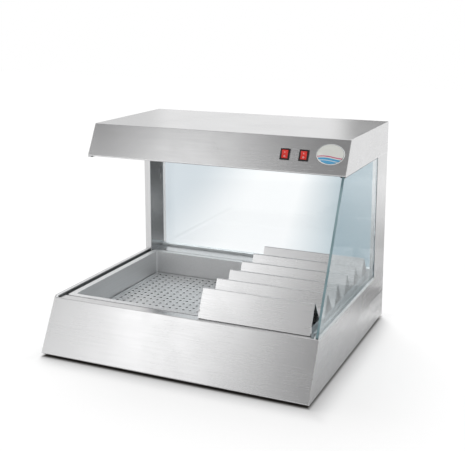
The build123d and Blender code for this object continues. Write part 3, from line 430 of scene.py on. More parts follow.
def joinGrids(name, grids, merge=1e-6):
    # several grids, each closed across its columns, as one mesh
    work = bmesh.new()
    for index, grid in enumerate(grids):
        work.from_mesh(tidyMesh(gridMesh(f"{name}{index}", grid, closeV=True), merge=merge))
    joined = bpy.data.meshes.new(name)
    work.to_mesh(joined)
    work.free()
    return smoothFaces(joined)


def closedStrip(points):
    # the rows are closed underneath, and each end is drawn together to its own middle
    middles = points.mean(axis=1, keepdims=True) + 0 * points
    return np.concatenate([middles[:1], points, middles[-1:]], axis=0)


def roundAngles(count):
    return np.linspace(0, 2 * math.pi, count, endpoint=False)


def vectorsOf(items, field):
    # one vector from each vertex or face, as rows of three
    values = np.zeros(len(items) * 3, np.float32)
    items.foreach_get(field, values)
    return values.reshape(-1, 3).astype(float)


def newObject(name, data):
    made = bpy.data.objects.new(name, data)
    bpy.context.scene.collection.objects.link(made)
    return made


def newPiece(name, mesh, material, body, replaced=()):
    made = newObject(name, mesh)
    mesh.materials.append(material)
    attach(made, body)
    if replaced:
        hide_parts(*replaced)


def boxCentre(name):
    # a node's middle, its low corner and its high corner
    low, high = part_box(name)
    return np.array((low + high) / 2), np.array(low), np.array(high)


# the badge: an oval enamel dome in a thin rim, whose fit is its height within the plate's
badge = {
    "rows": 28,
    "spokes": 96,
    "fit": 0.995,
    "rise": 0.0016,
    "lip": 0.0005,
    "lipAt": 0.93,
    "lipWide": 0.025,
    "skirt": 0.0007,
    "skirtWide": 0.015,
    "backDrop": 0.0006,
    "centreDrop": 0.0004,
}
enamel = {
    "wave": 5.0,
    "swing": -0.04,
    "field": (0.30, 0.285),
    "redLine": (0.36, 0.022),
    "paleBand": (0.18, 0.02),
    "rim": (0.452, 0.458),
    "fleck": 60.0,
    "creams": ((0.84, 0.85, 0.80, 1), (0.92, 0.93, 0.88, 1)),
    "blue": (0.10, 0.42, 0.72, 1),
    "pale": (0.62, 0.76, 0.84, 1),
    "red": (0.62, 0.06, 0.20, 1),
    "bare": (0.70, 0.72, 0.72, 1),
}


def ovalDome(middle, halfWide, halfHigh, look):
    # radius r from 0 to 1 and angle t: the point is (a r cos t, b r sin t), raised by rise (1 - r^2.5), with a rounded
    # lip near the rim and a skirt that falls to the panel behind
    r, t = np.linspace(0, 1, look["rows"])[:, None], roundAngles(look["spokes"])[None, :]
    rise = look["rise"] * (1 - r**2.5)
    lip = look["lip"] * np.exp(-(((r - look["lipAt"]) / look["lipWide"]) ** 2))
    skirt = look["skirt"] * np.clip((r - 1 + look["skirtWide"]) / look["skirtWide"], 0, 1) ** 2
    height = rise + lip - skirt + 0 * t
    points = (
        middle
        + (halfWide * r * np.cos(t))[..., None] * acrossFace
        + (halfHigh * r * np.sin(t))[..., None] * upFace
        + height[..., None] * outOfFace
    )
    back = points[-1:] - look["backDrop"] * outOfFace
    centre = np.broadcast_to(middle - look["centreDrop"] * outOfFace, back.shape)
    uv = np.stack([0.5 + 0.5 * r * np.cos(t), 0.5 + 0.5 * r * np.sin(t)], axis=-1)
    uv = np.concatenate([uv, uv[-1:], np.full_like(uv[:1], 0.5)], axis=0)
    return np.concatenate([points, back, centre], axis=0), uv


def makeEnamel():
    # cream enamel with a blue field in its lower part that ends along a gentle wave, a pale band across the field, and
    # a thin red line above it
    made, tree = newMaterial("badgeEnamel")
    flat = put(tree, "ShaderNodeUVMap", uv_map="UVMap").outputs[0]
    parts = splitVector(tree, flat)
    wave = calc(tree, "SINE", calc(tree, "MULTIPLY", parts[0], enamel["wave"]))
    height = calc(tree, "MULTIPLY_ADD", wave, enamel["swing"], parts[1])
    middle = put(tree, "ShaderNodeVectorMath", {0: flat, 1: (0.5, 0.5, 0.0)}, operation="DISTANCE").outputs["Value"]
    rim = remap(tree, middle, *enamel["rim"])
    fleck = noise(tree, flat, enamel["fleck"], 3.0)[0]
    shade = blendColour(tree, fleck, *enamel["creams"])
    shade = blendColour(tree, remap(tree, height, *enamel["field"]), shade, enamel["blue"])
    shade = blendColour(tree, calc(tree, "COMPARE", height, *enamel["paleBand"]), shade, enamel["pale"])
    shade = blendColour(tree, calc(tree, "COMPARE", height, *enamel["redLine"]), shade, enamel["red"])
    shade = blendColour(tree, rim, shade, enamel["bare"])
    rough = remap(tree, fleck, 0.3, 0.7, 0.12, 0.2)
    closePrincipled(tree, {"Base Color": shade, "Roughness": rough, "Metallic": rim, "Coat Weight": 0.5})
    return made


badgeMiddle, badgeLow, badgeHigh = boxCentre("badge_plate")
badgeWide = (badgeHigh[0] - badgeLow[0]) / 2
badgeTall = (badgeHigh[2] - badgeLow[2]) / 2 / math.cos(frontLean)
badgePoints, badgeUv = ovalDome(badgeMiddle, badgeWide, badgeTall * badge["fit"], badge)
badgeMesh = tidyMesh(gridMesh("badgeFace", badgePoints, closeV=True, uv=badgeUv))
newPiece("badgeFace", badgeMesh, makeEnamel(), "cabinet", ["badge_plate"])
print("stage: badge done")


# the right pane's polished front edge, a low crown over the cut face
paneEdge = {"proud": 0.0007, "rows": 2, "sides": 10, "trim": 0.004, "inset": 0.0001, "band": 0.002}
polish = {
    "drift": 14.0,
    "grind": 1500.0,
    "shades": ((0.15, 0.25, 0.28, 1), (0.26, 0.39, 0.42, 1)),
    "rough": (0.22, 0.34),
}


def crownedStrip(low, high, halfWide, look):
    # across the edge, angle t from 0 to 180 degrees gives (half width cos t, proud sin t), and s runs from low to high
    along = high - low
    out = np.array((0.0, -along[2], along[1]))
    out /= np.linalg.norm(out)
    t, s = np.linspace(0, math.pi, look["sides"])[None, :], np.linspace(0, 1, look["rows"])[:, None]
    across = (halfWide * np.cos(t) + 0 * s)[..., None] * acrossFace
    lift = (look["proud"] * np.sin(t) + 0 * s)[..., None] * out
    return low + (s + 0 * t)[..., None] * along + across + lift


def makePolishedEdge():
    # ground glass that drifts between two shades of green, with a fine grind as its bump
    made, tree = newMaterial("polishedEdge")
    place = objectPlace(tree)
    drift = noise(tree, place, polish["drift"], 3.0)[0]
    shade = blendColour(tree, remap(tree, drift, 0.35, 0.65), *polish["shades"])
    bump = bumped(tree, noise(tree, place, polish["grind"], 2.0)[0], 0.1, 0.0002)
    rough = remap(tree, drift, 0.3, 0.7, *polish["rough"])
    closePrincipled(tree, {"Base Color": shade, "Roughness": rough, "Normal": bump, "Coat Weight": 0.3})
    return made


def foremost(corners, middle):
    # the corner nearest the front, set in the pane's middle plane
    return np.array((middle, corners[:, 1].min(), corners[corners[:, 1].argmin(), 2]))


paneCorners = vectorsOf(node["right_glass"].data.vertices, "co")
paneMiddle, paneLow, paneHigh = boxCentre("right_glass")
edgeFoot = foremost(paneCorners[paneCorners[:, 2] < paneLow[2] + paneEdge["band"]], paneMiddle[0])
edgeHead = foremost(paneCorners[paneCorners[:, 2] > paneHigh[2] - paneEdge["band"]], paneMiddle[0])
edgeTrim = (edgeHead - edgeFoot) / np.linalg.norm(edgeHead - edgeFoot) * paneEdge["trim"]
edgeFoot, edgeHead = edgeFoot + edgeTrim, edgeHead - edgeTrim
edgeHalf = (paneHigh[0] - paneLow[0]) / 2 - paneEdge["inset"]
edgePoints = closedStrip(crownedStrip(edgeFoot, edgeHead, edgeHalf, paneEdge))
edgeMesh = tidyMesh(gridMesh("paneFrontEdge", edgePoints, closeV=True))
newPiece("paneFrontEdge", edgeMesh, makePolishedEdge(), "cabinet")
print("stage: pane edge done", edgeFoot.round(4), edgeHead.round(4))


# sealant beads along the right pane's foot, on the lips of its channel
sealant = {
    "outerReach": 0.0015,
    "innerReach": 0.0032,
    "rise": 0.0030,
    "lipTop": 0.139,
    "ends": (-0.2455, 0.2150),
    "rows": 90,
    "sides": 9,
    "curl": 0.98,
    "wavers": ((0.05, 95, 0), (0.03, 217, 1)),
    "spark": 300.0,
    "cloud": 22.0,
    "shades": ((0.70, 0.78, 0.81, 1), (0.90, 0.94, 0.95, 1)),
}


def sealantBead(faceX, way, reach):
    # a hollow fillet from the pane's face to the lip: x = face + reach (1 - sin t) and z = top + rise (1 - cos t) for t
    # from 0 to 90 degrees, whose depth wavers a little along the run as a hand-drawn bead does
    t = np.linspace(0, math.pi / 2, sealant["sides"])[None, :]
    y = np.linspace(*sealant["ends"], sealant["rows"])[:, None]
    waver = 1 + sum(size * np.sin(y * pace + start) for size, pace, start in sealant["wavers"])
    x = faceX + way * reach * waver * (1 - np.sin(t) * sealant["curl"])
    z = sealant["lipTop"] + sealant["rise"] * waver * (1 - np.cos(t) * sealant["curl"])
    skin = np.stack(np.broadcast_arrays(x, y, z), axis=-1)
    foot = np.stack(np.broadcast_arrays(faceX + 0 * y, y, sealant["lipTop"] + 0 * y), axis=-1)
    return np.concatenate([skin, foot], axis=1)


def makeSealant():
    # milky silicone, a little cloudier in patches
    made, tree = newMaterial("paleSealant")
    place = objectPlace(tree)
    skin = useGroup(tree, moulded, {"Vector": place, "Scale": sealant["spark"]})
    shade = blendColour(tree, noise(tree, place, sealant["cloud"], 3.0)[0], *sealant["shades"])
    rough = remap(tree, skin.outputs["Shade"], 0.3, 0.7, 0.22, 0.34)
    bump = bumped(tree, skin.outputs["Spark"], 0.08, 0.0003)
    closePrincipled(tree, {"Base Color": shade, "Roughness": rough, "Normal": bump})
    return made


paleSealant = makeSealant()
for beadName, faceX, way, reach in (
    ("outerSealant", paneHigh[0], 1, sealant["outerReach"]),
    ("innerSealant", paneLow[0], -1, sealant["innerReach"]),
):
    beadMesh = tidyMesh(gridMesh(beadName, closedStrip(sealantBead(faceX, way, reach)), closeV=True))
    newPiece(beadName, beadMesh, paleSealant, "cabinet")
print("stage: sealant done")


# the marks on the rockers: a bar for on and a ring for off, moulded a little proud of each half
rockerMarks = {
    "barLong": 0.0021,
    "barWide": 0.00055,
    "barRows": 8,
    "ring": 0.0017,
    "ringWide": 0.0004,
    "ringSides": 10,
    "spokes": 40,
    "proud": 0.00012,
    "sunk": 0.00003,
}
facePick = {"leastArea": 0.05, "sameWay": 0.9995}


def flatFace(name, direction):
    # the middle and the outward normal of the node's flat face that looks most nearly in a direction
    faces = node[name].data.polygons
    normals, centres = vectorsOf(faces, "normal"), vectorsOf(faces, "center")
    areas = np.zeros(len(faces), np.float32)
    faces.foreach_get("area", areas)
    like = normals @ (np.array(direction) / np.linalg.norm(direction))
    best = normals[(like * (areas > areas.max() * facePick["leastArea"])).argmax()]
    chosen = normals @ best > facePick["sameWay"]
    return (centres[chosen] * areas[chosen, None]).sum(axis=0) / areas[chosen].sum(), best / np.linalg.norm(best)


def raisedBar(middle, up, out, look):
    # radius r and angle t on an oval with square-shouldered ends, raised by proud (1 - r^6)
    r, t = np.linspace(0, 1, look["barRows"])[:, None], roundAngles(look["spokes"])[None, :]
    wide = look["barWide"] * r * np.sign(np.cos(t)) * abs(np.cos(t)) ** 0.5
    long = look["barLong"] * r * np.sign(np.sin(t)) * abs(np.sin(t)) ** 0.75
    height = look["proud"] * (1 - r**6) - look["sunk"] + 0 * t
    points = middle + wide[..., None] * acrossFace + long[..., None] * up + height[..., None] * out
    under = np.broadcast_to(middle - look["sunk"] * out, points[-1:].shape)
    return np.concatenate([points, under], axis=0)


def raisedRing(middle, up, out, look):
    # a flattened ring: angle s goes round it, and angle t round its section, (ring + width cos t, proud sin t)
    s, t = roundAngles(look["spokes"])[:, None], roundAngles(look["ringSides"])[None, :]
    radius = look["ring"] + look["ringWide"] * np.cos(t)
    height = np.maximum(look["proud"] * np.sin(t), -look["sunk"]) + 0 * s
    level = (radius * np.cos(s))[..., None] * acrossFace + (radius * np.sin(s))[..., None] * up
    return middle + level + height[..., None] * out


marks = (("onBar", (0, -0.99, 0.16), raisedBar), ("offRing", (0, -0.89, 0.45), raisedRing))
for rocker, body in (("rocker_lamp", "lamp_rocker"), ("rocker_base", "base_rocker")):
    for markName, direction, shape in marks:
        markMiddle, markOut = flatFace(rocker, direction)
        markUp = np.cross(markOut, acrossFace)
        markUp *= np.sign(markUp[2])
        markPoints = shape(markMiddle, markUp, markOut, rockerMarks)
        markMesh = tidyMesh(gridMesh(markName, markPoints, closeU=shape is raisedRing, closeV=True), merge=1e-7)
        newPiece(f"{markName}_{body}", markMesh, moulding["markWhite"], body)
print("stage: rocker marks done")

# pan-head screws with a cross recess, at the back
screwHead = {
    "rows": 26,
    "spokes": 72,
    "brim": 0.42,
    "recess": 0.0014,
    "slotHalf": 0.00042,
    "slotLong": 0.0024,
    "slotWall": 0.00007,
    "slotEnd": 0.00012,
    "slotTaper": 0.45,
    "shank": 0.0025,
    "length": 0.0098,
    "tip": 0.0002,
    "headBand": 0.003,
    "firstTurn": 0.35,
    "turnStep": 1.7,
}


def screwPlaces():
    # the middle of each head, found from the node's own corners (two columns, four rows), and its radius and height
    corners = vectorsOf(node["rear_screws"].data.vertices, "co")
    half = (cadLow[2] + cadHigh[2]) / 2
    places = []
    for left in (True, False):
        for low in (True, False):
            group = corners[((corners[:, 0] < 0) == left) & ((corners[:, 2] < half) == low)]
            middle = (group[:, 2].min() + group[:, 2].max()) / 2
            for under in (True, False):
                one = group[(group[:, 2] < middle) == under]
                one = one[one[:, 1] > one[:, 1].max() - screwHead["headBand"]]
                places.append((one.min(axis=0) + one.max(axis=0)) / 2)
    return places, (one.max(axis=0) - one.min(axis=0))[[0, 1]] * (0.5, 1.0)


def screwSurface(place, radius, tall, turn, look):
    # head: height = tall (brim + (1 - brim) (1 - r^3.4)^0.5), less the cross; below it a shank with a blunt end
    r, t = np.linspace(0, 1, look["rows"])[:, None], roundAngles(look["spokes"])[None, :]
    dome = np.sqrt(np.clip(1 - r**3.4, 0, 1))
    height = tall * (look["brim"] + (1 - look["brim"]) * dome) + 0 * t
    # each arm of the cross is a soft-walled slot: 1 inside its half width and its length, and 0 outside
    a, b = abs(radius * r * np.cos(t + turn)), abs(radius * r * np.sin(t + turn))
    slots = []
    for wide, long in ((a, b), (b, a)):
        inWidth = 1 / (1 + np.exp((wide - look["slotHalf"]) / look["slotWall"]))
        slots.append(inWidth / (1 + np.exp((long - look["slotLong"]) / look["slotEnd"])))
    height = height - look["recess"] * np.maximum(*slots) * (1 - look["slotTaper"] * r)
    shank, end = look["shank"] / radius, -look["length"]
    rim = np.array([(1.0, 0.0), (shank, 0.0), (shank, end), (0.0, end - look["tip"])])
    far = np.concatenate([r, rim[:, :1]]) * radius + 0 * t
    out = np.concatenate([height, rim[:, 1:] + 0 * t], axis=0)
    return place + np.stack([far * np.cos(t), out, far * np.sin(t)], axis=-1)


screwMiddles, screwSize = screwPlaces()
screwGrids = []
for count, middle in enumerate(screwMiddles):
    seat = np.array((middle[0], middle[1] - screwSize[1] / 2, middle[2]))
    turn = screwHead["firstTurn"] + screwHead["turnStep"] * count
    screwGrids.append(screwSurface(seat, *screwSize, turn, screwHead))
screwMesh = joinGrids("crossScrews", screwGrids)
newPiece("crossScrews", screwMesh, metal["zincPlate"], "cabinet", ["rear_screws"])
print("stage: screws done", len(screwGrids), "radius and height", screwSize.round(4))

# the wound wires inside the quartz tubes, each a coil carried along its tube's middle line
coil = {"radius": 0.0030, "wire": 0.00045, "pitch": 0.0042, "trim": 0.012, "perTurn": 12, "sides": 5}


def coilGrid(middle, halfRun, look):
    # the wire's middle line is (x, R cos a, R sin a) with a = 2 pi x / pitch, and its section is a ring round that line
    turns = 2 * halfRun / look["pitch"]
    a = np.linspace(0, 2 * math.pi * turns, int(turns * look["perTurn"]))
    radial = np.stack([0 * a, np.cos(a), np.sin(a)], axis=-1)
    ahead = 0 * a + look["pitch"] / (2 * math.pi)
    run = np.stack([ahead, -look["radius"] * np.sin(a), look["radius"] * np.cos(a)], axis=-1)
    run /= np.linalg.norm(run, axis=-1, keepdims=True)
    side = np.cross(run, radial)
    line = middle + look["radius"] * radial
    line[:, 0] += np.linspace(-halfRun, halfRun, len(a))
    t = roundAngles(look["sides"])[None, :, None]
    return line[:, None, :] + look["wire"] * (np.cos(t) * radial[:, None, :] + np.sin(t) * side[:, None, :])


tubeMiddle, tubeLow, tubeHigh = boxCentre("infrared_tubes")
tubeRadius = (tubeHigh[2] - tubeLow[2]) / 2
coilGrids = []
for tubeY in (tubeLow[1] + tubeRadius, tubeHigh[1] - tubeRadius):
    coilMiddle = np.array((tubeMiddle[0], tubeY, tubeMiddle[2]))
    coilGrids.append(closedStrip(coilGrid(coilMiddle, (tubeHigh[0] - tubeLow[0]) / 2 - coil["trim"], coil)))
coilMesh = joinGrids("lampCoils", coilGrids, merge=1e-7)
newPiece("lampCoils", coilMesh, metal["heaterSheath"], "cabinet")
print("stage: lamp coils done")

# the cable gland: a six-sided body, a ribbed dome nut, and a lock nut inside the panel, all round one bore
gland = {"bore": 0.00475, "thread": 0.010, "nut": 0.013, "spokes": 96, "ribs": 24}


def glandSurface(middle, panelY, low, high, look):
    # every row is (distance out, radius, six-sidedness h, rib depth k), and at angle t the radius is
    # row radius x (1 + h (hexagon - 1)) - k cos(ribs t), where hexagon = 1 / cos(t folded into 60 degrees)
    t = roundAngles(look["spokes"])[None, :]
    hexagon = 1 / np.cos((t + math.pi / 6) % (math.pi / 3) - math.pi / 6)
    nut, thread, bore = look["nut"], look["thread"], look["bore"]
    reach, inside = high - panelY, low - panelY
    threadEnd = [(inside, bore, 0, 0), (inside, thread - 0.0008, 0, 0), (inside + 0.0008, thread, 0, 0)]
    lockNut = [(inside + 0.0022, thread, 0, 0), (inside + 0.0022, nut - 0.0006, 1, 0), (inside + 0.0028, nut, 1, 0)]
    lockNut += [(-0.0032, nut, 1, 0), (-0.0026, nut - 0.0006, 1, 0), (-0.0026, thread, 0, 0), (0.0, thread, 0, 0)]
    sixSided = [(0.0, nut - 0.0005, 1, 0), (0.0005, nut, 1, 0), (0.0046, nut, 1, 0), (0.0052, nut - 0.0007, 0.9, 0)]
    domeNut = [(0.0053, 0.0120, 0, 0), (0.0060, 0.0121, 0, 0.00025), (0.0085, 0.0117, 0, 0.00025)]
    domeNut += [(0.0102, 0.0106, 0, 0.00022), (0.0113, 0.0090, 0, 0.0001), (reach - 0.0001, 0.0075, 0, 0)]
    mouth = [(reach, 0.0062, 0, 0), (reach - 0.0004, bore + 0.0004, 0, 0), (reach - 0.0010, bore, 0, 0)]
    out, far, sided, rib = np.hsplit(np.array(threadEnd + lockNut + sixSided + domeNut + mouth), 4)
    radius = far * (1 + sided * (hexagon - 1)) - rib * np.cos(look["ribs"] * t)
    return middle + np.stack([radius * np.sin(t), out + 0 * t, radius * np.cos(t)], axis=-1)


glandMiddle, glandLow, glandHigh = boxCentre("cable_gland")
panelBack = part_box("base_rear_panel")[1][1]
glandPlace = np.array((glandMiddle[0], panelBack, glandMiddle[2]))
glandGrid = glandSurface(glandPlace, panelBack, glandLow[1], glandHigh[1], gland)
glandMesh = tidyMesh(gridMesh("ribbedGland", glandGrid, closeU=True, closeV=True), merge=1e-7)
newPiece("ribbedGland", glandMesh, moulding["glandGrey"], "cabinet", ["cable_gland"])
print("stage: gland done")

# the room and its lights, with places in metres and turns in degrees
studio = {
    "floorSize": 14.0,
    "worldLight": 0.60,
    "keyTurn": (34.0, -18.0),
    "keyPower": 1.85,
    "keyAngle": 30.0,
    "lift": 0.60,
    "floorGlow": 1.08,
    "mirrorFade": (0.80, 2.6),
    "underside": (0.345, 0.308),
    "undersideFade": (-0.004, 0.07),
    "footprint": (0.350, 0.3125),
    "footprintFade": (-0.006, 0.004),
    # the paper's colour under the casing, a painted shadow
    "paintedUnderShadow": (0.10, 0.09, 0.08, 1),
    "paper": (0.92, 0.92, 0.92, 1),
    "cardCentre": (0.0, 0.0, 0.35),
    "cardBorder": 0.16,
    "sheetHeight": 0.004,
}
cards = {
    "softbox": {"turn": -28, "rise": 24, "size": (0.95, 1.3), "away": 4.0, "strength": 2.0},
    "leftFlag": {"turn": -49, "rise": 22, "size": (1.2, 1.4), "away": 4.2, "strength": 0.45},
    "highGlow": {"turn": -33, "rise": 38, "size": (0.9, 0.9), "away": 4.0, "strength": 1.5},
    "highFlag": {"turn": -30, "rise": 47, "size": (7.0, 2.5), "away": 4.2, "strength": 0.26},
    "rightFlag": {"turn": 7, "rise": 20, "size": (4.4, 2.2), "away": 4.2, "strength": 0.20},
    "backFlag": {"turn": 178, "rise": 9, "size": (2.7, 1.5), "away": 4.2, "strength": 0.26},
    "backGlow": {"turn": 200, "rise": 8, "size": (1.3, 1.3), "away": 4.1, "strength": 1.0},
    "backSoft": {"turn": 217, "rise": 8, "size": (1.0, 1.3), "away": 4.2, "strength": 0.72},
}
floorSheets = {
    # a painted shadow of the casing on the floor, seen in the right side's reflection
    "sideShadowSheet": {
        "middle": (0.70, 1.28),
        "along": (0.26, 0.965),
        "size": (0.95, 2.30),
        "border": 0.15,
        "strength": 0.30,
        "farStrength": 1.15,
        "depths": ("Glossy Depth",),
    },
    "frontFlag": {
        "middle": (-0.10, -1.40),
        "along": (0.24, 0.97),
        "size": (1.5, 2.2),
        "border": 0.12,
        "strength": 0.16,
        "depths": ("Glossy Depth", "Transparent Depth"),
    },
}
postFlag = {
    "from": (-0.15, 0.50),
    "along": (0.50, 0.87),
    "wide": 1.7,
    "run": 1.2,
    "rise": 1.2,
    "bend": 0.25,
    "border": 0.10,
    "strength": 0.13,
    "depths": ("Glossy Depth", "Transparent Depth"),
}
backdrop = {
    "x": (-2.6, 0.60),
    "y": (0.42, 6.8),
    "height": 0.002,
    "slope": 0.287,
    "leftFade": (-0.50, -0.10),
    "rightFade": (0.09, 0.29),
    "borderFades": ((0, -2.0, -2.6), (0, 0.36, 0.60), (1, 3.0, 6.5)),
    "leftShade": (0.65, 0.70, 0.735, 1),
    "rightShade": (0.52, 0.60, 0.64, 1),
    "deepShade": (0.14, 0.28, 0.35, 1),
    "strength": 1.05,
}


def buildRoom():
    # white air for rays from the camera, from mirrors and through glass, and a softer one to light the object
    world = bpy.data.worlds.new("studioAir")
    bpy.context.scene.world = world
    world.use_nodes = True
    tree = world.node_tree
    tree.nodes.clear()
    direct, glossy, through = rayKinds(tree)
    shown = calc(tree, "MAXIMUM", calc(tree, "MAXIMUM", direct, glossy), through)
    soft = put(tree, "ShaderNodeBackground", {"Color": plainWhite, "Strength": studio["worldLight"]})
    bright = put(tree, "ShaderNodeBackground", {"Color": plainWhite, "Strength": 1.0})
    mixed = put(tree, "ShaderNodeMixShader", {0: shown, 1: soft.outputs[0], 2: bright.outputs[0]})
    put(tree, "ShaderNodeOutputWorld", {"Surface": mixed.outputs[0]})


def outsideBox(tree, place, reaches, fade, shape="LINEAR"):
    # 0 within a rectangle round the middle and 1 outside it, changing over the fade at its border
    masks = []
    for axis, reach in enumerate(reaches):
        size = calc(tree, "ABSOLUTE", place[axis])
        masks.append(remap(tree, size, reach + fade[0], reach + fade[1], shape=shape))
    return calc(tree, "MAXIMUM", *masks)


def buildFloor():
    half = studio["floorSize"] / 2
    line = np.linspace(-half, half, 9)
    points = np.stack(np.broadcast_arrays(line[:, None], line[None, :], np.float64(0)), axis=-1)
    mesh = gridMesh("floor", points)
    if mesh.polygons[0].normal.z < 0:
        mesh.flip_normals()
    made, tree = newMaterial("paleFloor")
    direct, glossy, through = rayKinds(tree)
    # in the metal the paper keeps its own shade near the casing, and turns white further out
    here = put(tree, "ShaderNodeVectorMath", {0: objectPlace(tree)}, operation="LENGTH")
    far = remap(tree, here.outputs["Value"], *studio["mirrorFade"])
    # a ray that was mirrored before it went through a pane counts as a mirrored one
    late = calc(tree, "MULTIPLY", through, hasMet(tree, "Glossy Depth"))
    mirrored = calc(tree, "MULTIPLY", calc(tree, "MAXIMUM", glossy, late), far)
    shown = calc(tree, "MAXIMUM", calc(tree, "MAXIMUM", direct, mirrored), calc(tree, "SUBTRACT", through, late))
    # the lift to white stops at the casing's footprint, so that the gap under it stays dark
    place = splitVector(tree, objectPlace(tree))
    clear = outsideBox(tree, place, studio["underside"], studio["undersideFade"], "SMOOTHSTEP")
    lift = calc(tree, "MULTIPLY", calc(tree, "MULTIPLY", shown, studio["lift"]), clear)
    # painted shadow: the paper's own colour is dark under the casing, where no light gets
    beside = outsideBox(tree, place, studio["footprint"], studio["footprintFade"])
    shade = blendColour(tree, beside, studio["paintedUnderShadow"], studio["paper"])
    paper = put(tree, "ShaderNodeBsdfDiffuse", {"Color": shade})
    glow = put(tree, "ShaderNodeEmission", {"Color": plainWhite, "Strength": studio["floorGlow"]})
    mixed = put(tree, "ShaderNodeMixShader", {0: lift, 1: paper.outputs[0], 2: glow.outputs[0]})
    closeMaterial(tree, mixed.outputs[0])
    mesh.materials.append(made)
    floor = newObject("floor", mesh)


def stageCard(name, points, glow, seenThroughGlass=False):
    u, v = np.meshgrid(np.linspace(0, 1, points.shape[0]), np.linspace(0, 1, points.shape[1]), indexing="ij")
    mesh = gridMesh(name, points, uv=np.stack([u, v], axis=-1))
    made, tree = newMaterial(name)
    closeMaterial(tree, glow(tree))
    mesh.materials.append(made)
    shown = newObject(name, mesh)
    shown.visible_camera = shown.visible_diffuse = shown.visible_shadow = False
    shown.visible_transmission = seenThroughGlass
    return shown


def plainGlow(look):
    # an even glow that fades out towards the card's border, as a lit cloth does; where depths are given, it only shows
    # to rays that have already met what they name, and with a far strength it changes along its length
    border = look.get("border", studio["cardBorder"])

    def build(tree):
        flat = splitVector(tree, put(tree, "ShaderNodeUVMap", uv_map="UVMap").outputs[0])
        masks = []
        for axis in (0, 1):
            off = calc(tree, "ABSOLUTE", calc(tree, "SUBTRACT", flat[axis], 0.5))
            masks.append(remap(tree, off, 0.5, 0.5 - border, shape="SMOOTHSTEP"))
        mask = calc(tree, "MULTIPLY", *masks)
        for depth in look.get("depths", ()):
            mask = calc(tree, "MULTIPLY", mask, hasMet(tree, depth))
        level = look["strength"]
        if "farStrength" in look:
            level = remap(tree, flat[1], 0.08, 0.85, level, look["farStrength"])
        glow = put(tree, "ShaderNodeEmission", {"Color": plainWhite, "Strength": level})
        clear = tree.nodes.new("ShaderNodeBsdfTransparent")
        return put(tree, "ShaderNodeMixShader", {0: mask, 1: clear.outputs[0], 2: glow.outputs[0]}).outputs[0]

    return build


def backdropGlow(tree):
    # white in its middle, turning grey-blue to its left and to its right along a slant, x + slope y
    place = splitVector(tree, objectPlace(tree))
    slant = calc(tree, "MULTIPLY_ADD", place[1], backdrop["slope"], place[0])
    left = remap(tree, slant, *backdrop["leftFade"], shape="SMOOTHSTEP")
    shade = blendColour(tree, left, backdrop["leftShade"], plainWhite)
    shade = blendColour(tree, remap(tree, slant, *backdrop["rightFade"]), shade, backdrop["rightShade"])
    # it is deeper through both panes, which takes four steps into or out of glass and not two
    shade = blendColour(tree, hasMet(tree, "Transmission Depth", 2.5), shade, backdrop["deepShade"])
    # it turns white towards its borders, so that none of them shows from another side
    for axis, start, end in backdrop["borderFades"]:
        shade = blendColour(tree, remap(tree, place[axis], start, end, shape="SMOOTHSTEP"), shade, plainWhite)
    return put(tree, "ShaderNodeEmission", {"Color": shade, "Strength": backdrop["strength"]}).outputs[0]


def buildBackdrop():
    # a sheet laid on the floor behind, seen through glass only
    u, v = np.meshgrid(np.linspace(*backdrop["x"], 3), np.linspace(*backdrop["y"], 3), indexing="ij")
    made = stageCard("backdrop", np.stack([u, v, np.full_like(u, backdrop["height"])], axis=-1), backdropGlow, True)
    made.visible_glossy = False


def flatTurn(direction):
    # a level direction as a unit vector, and the one square to it on its right
    along = np.array((*direction, 0.0)) / np.linalg.norm(direction)
    return along, np.array((along[1], -along[0], 0.0))


def flatSheet(middle, side, up, size):
    u, v = np.meshgrid(np.linspace(-0.5, 0.5, 3), np.linspace(-0.5, 0.5, 3), indexing="ij")
    return np.array(middle) + (u * size[0])[..., None] * side + (v * size[1])[..., None] * up


def buildFloorSheets():
    # a sheet beside the casing, dark at its near end and pale at its far one, a painted shadow of the casing on the
    # floor which the right side mirrors,
    # # and a dark one in front, for the right post's front face behind the pane
    for name, sheet in floorSheets.items():
        along, side = flatTurn(sheet["along"])
        points = flatSheet((*sheet["middle"], studio["sheetHeight"]), side, along, sheet["size"])
        stageCard(name, points, plainGlow(sheet), True)


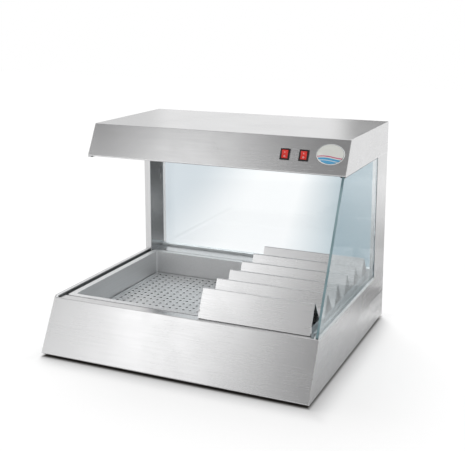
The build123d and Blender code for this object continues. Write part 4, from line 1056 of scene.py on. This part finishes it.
def buildPostFlag():
    # a dark scoop behind, for the left post's inner face: it runs along the floor, turns up through a quarter of a
    # circle, angle t from 0 to 90 degrees at (run + bend sin t, bend - bend cos t), and then stands
    along, side = flatTurn(postFlag["along"])
    t = np.linspace(0, math.pi / 2, 9)
    bend, run, rise = postFlag["bend"], postFlag["run"], postFlag["rise"]
    flat, stood = np.linspace(0, run, 9)[:-1], np.linspace(bend, rise, 9)[1:]
    reach = np.concatenate([flat, run + bend * np.sin(t), run + bend + 0 * stood])
    height = np.concatenate([0 * flat, bend - bend * np.cos(t), stood]) + studio["sheetHeight"]
    start = np.array((*postFlag["from"], 0.0))
    across = np.linspace(-0.5, 0.5, 5) * postFlag["wide"]
    profile = start + reach[:, None] * along + height[:, None] * np.array((0.0, 0.0, 1.0))
    points = profile[None, :, :] + across[:, None, None] * side
    stageCard("postFlag", points, plainGlow(postFlag), True)


def buildCards():
    # each card is a square-on rectangle at its turn and rise round the object, seen only in reflections
    for name, card in cards.items():
        turn, rise = math.radians(card["turn"]), math.radians(card["rise"])
        out = np.array((math.sin(turn) * math.cos(rise), -math.cos(turn) * math.cos(rise), math.sin(rise)))
        side = np.array((math.cos(turn), math.sin(turn), 0.0))
        middle = np.array(studio["cardCentre"]) + card["away"] * out
        stageCard(name, flatSheet(middle, side, np.cross(out, side), card["size"]), plainGlow(card))


def buildKey():
    lamp = bpy.data.lights.new("keyLight", "SUN")
    lamp.energy, lamp.angle = studio["keyPower"], math.radians(studio["keyAngle"])
    key = newObject("keyLight", lamp)
    tilt, roll = studio["keyTurn"]
    key.rotation_euler = (math.radians(-tilt), math.radians(roll), 0)
    key.visible_glossy = False


camera = {
    "place": (0.90284, -1.96060, 0.85991),
    "turn": 0.424,
    "tilt": 0.196,
    "lens": 66.79,
    "sensor": 36.0,
    "shift": (0.0097, -0.1086),
}


def buildCamera():
    # turn and tilt are in radians
    lens = bpy.data.cameras.new("camera")
    lens.lens, lens.sensor_width = camera["lens"], camera["sensor"]
    lens.shift_x, lens.shift_y = camera["shift"]
    made = newObject("camera", lens)
    made.location = camera["place"]
    made.rotation_euler = (math.pi / 2 - camera["tilt"], 0, camera["turn"])
    bpy.context.scene.camera = made


buildRoom()
buildFloor()
buildCards()
buildFloorSheets()
buildPostFlag()
buildBackdrop()
buildKey()
buildCamera()
bpy.context.scene.view_settings.view_transform = "Standard"
print("stage: room, light and camera done")
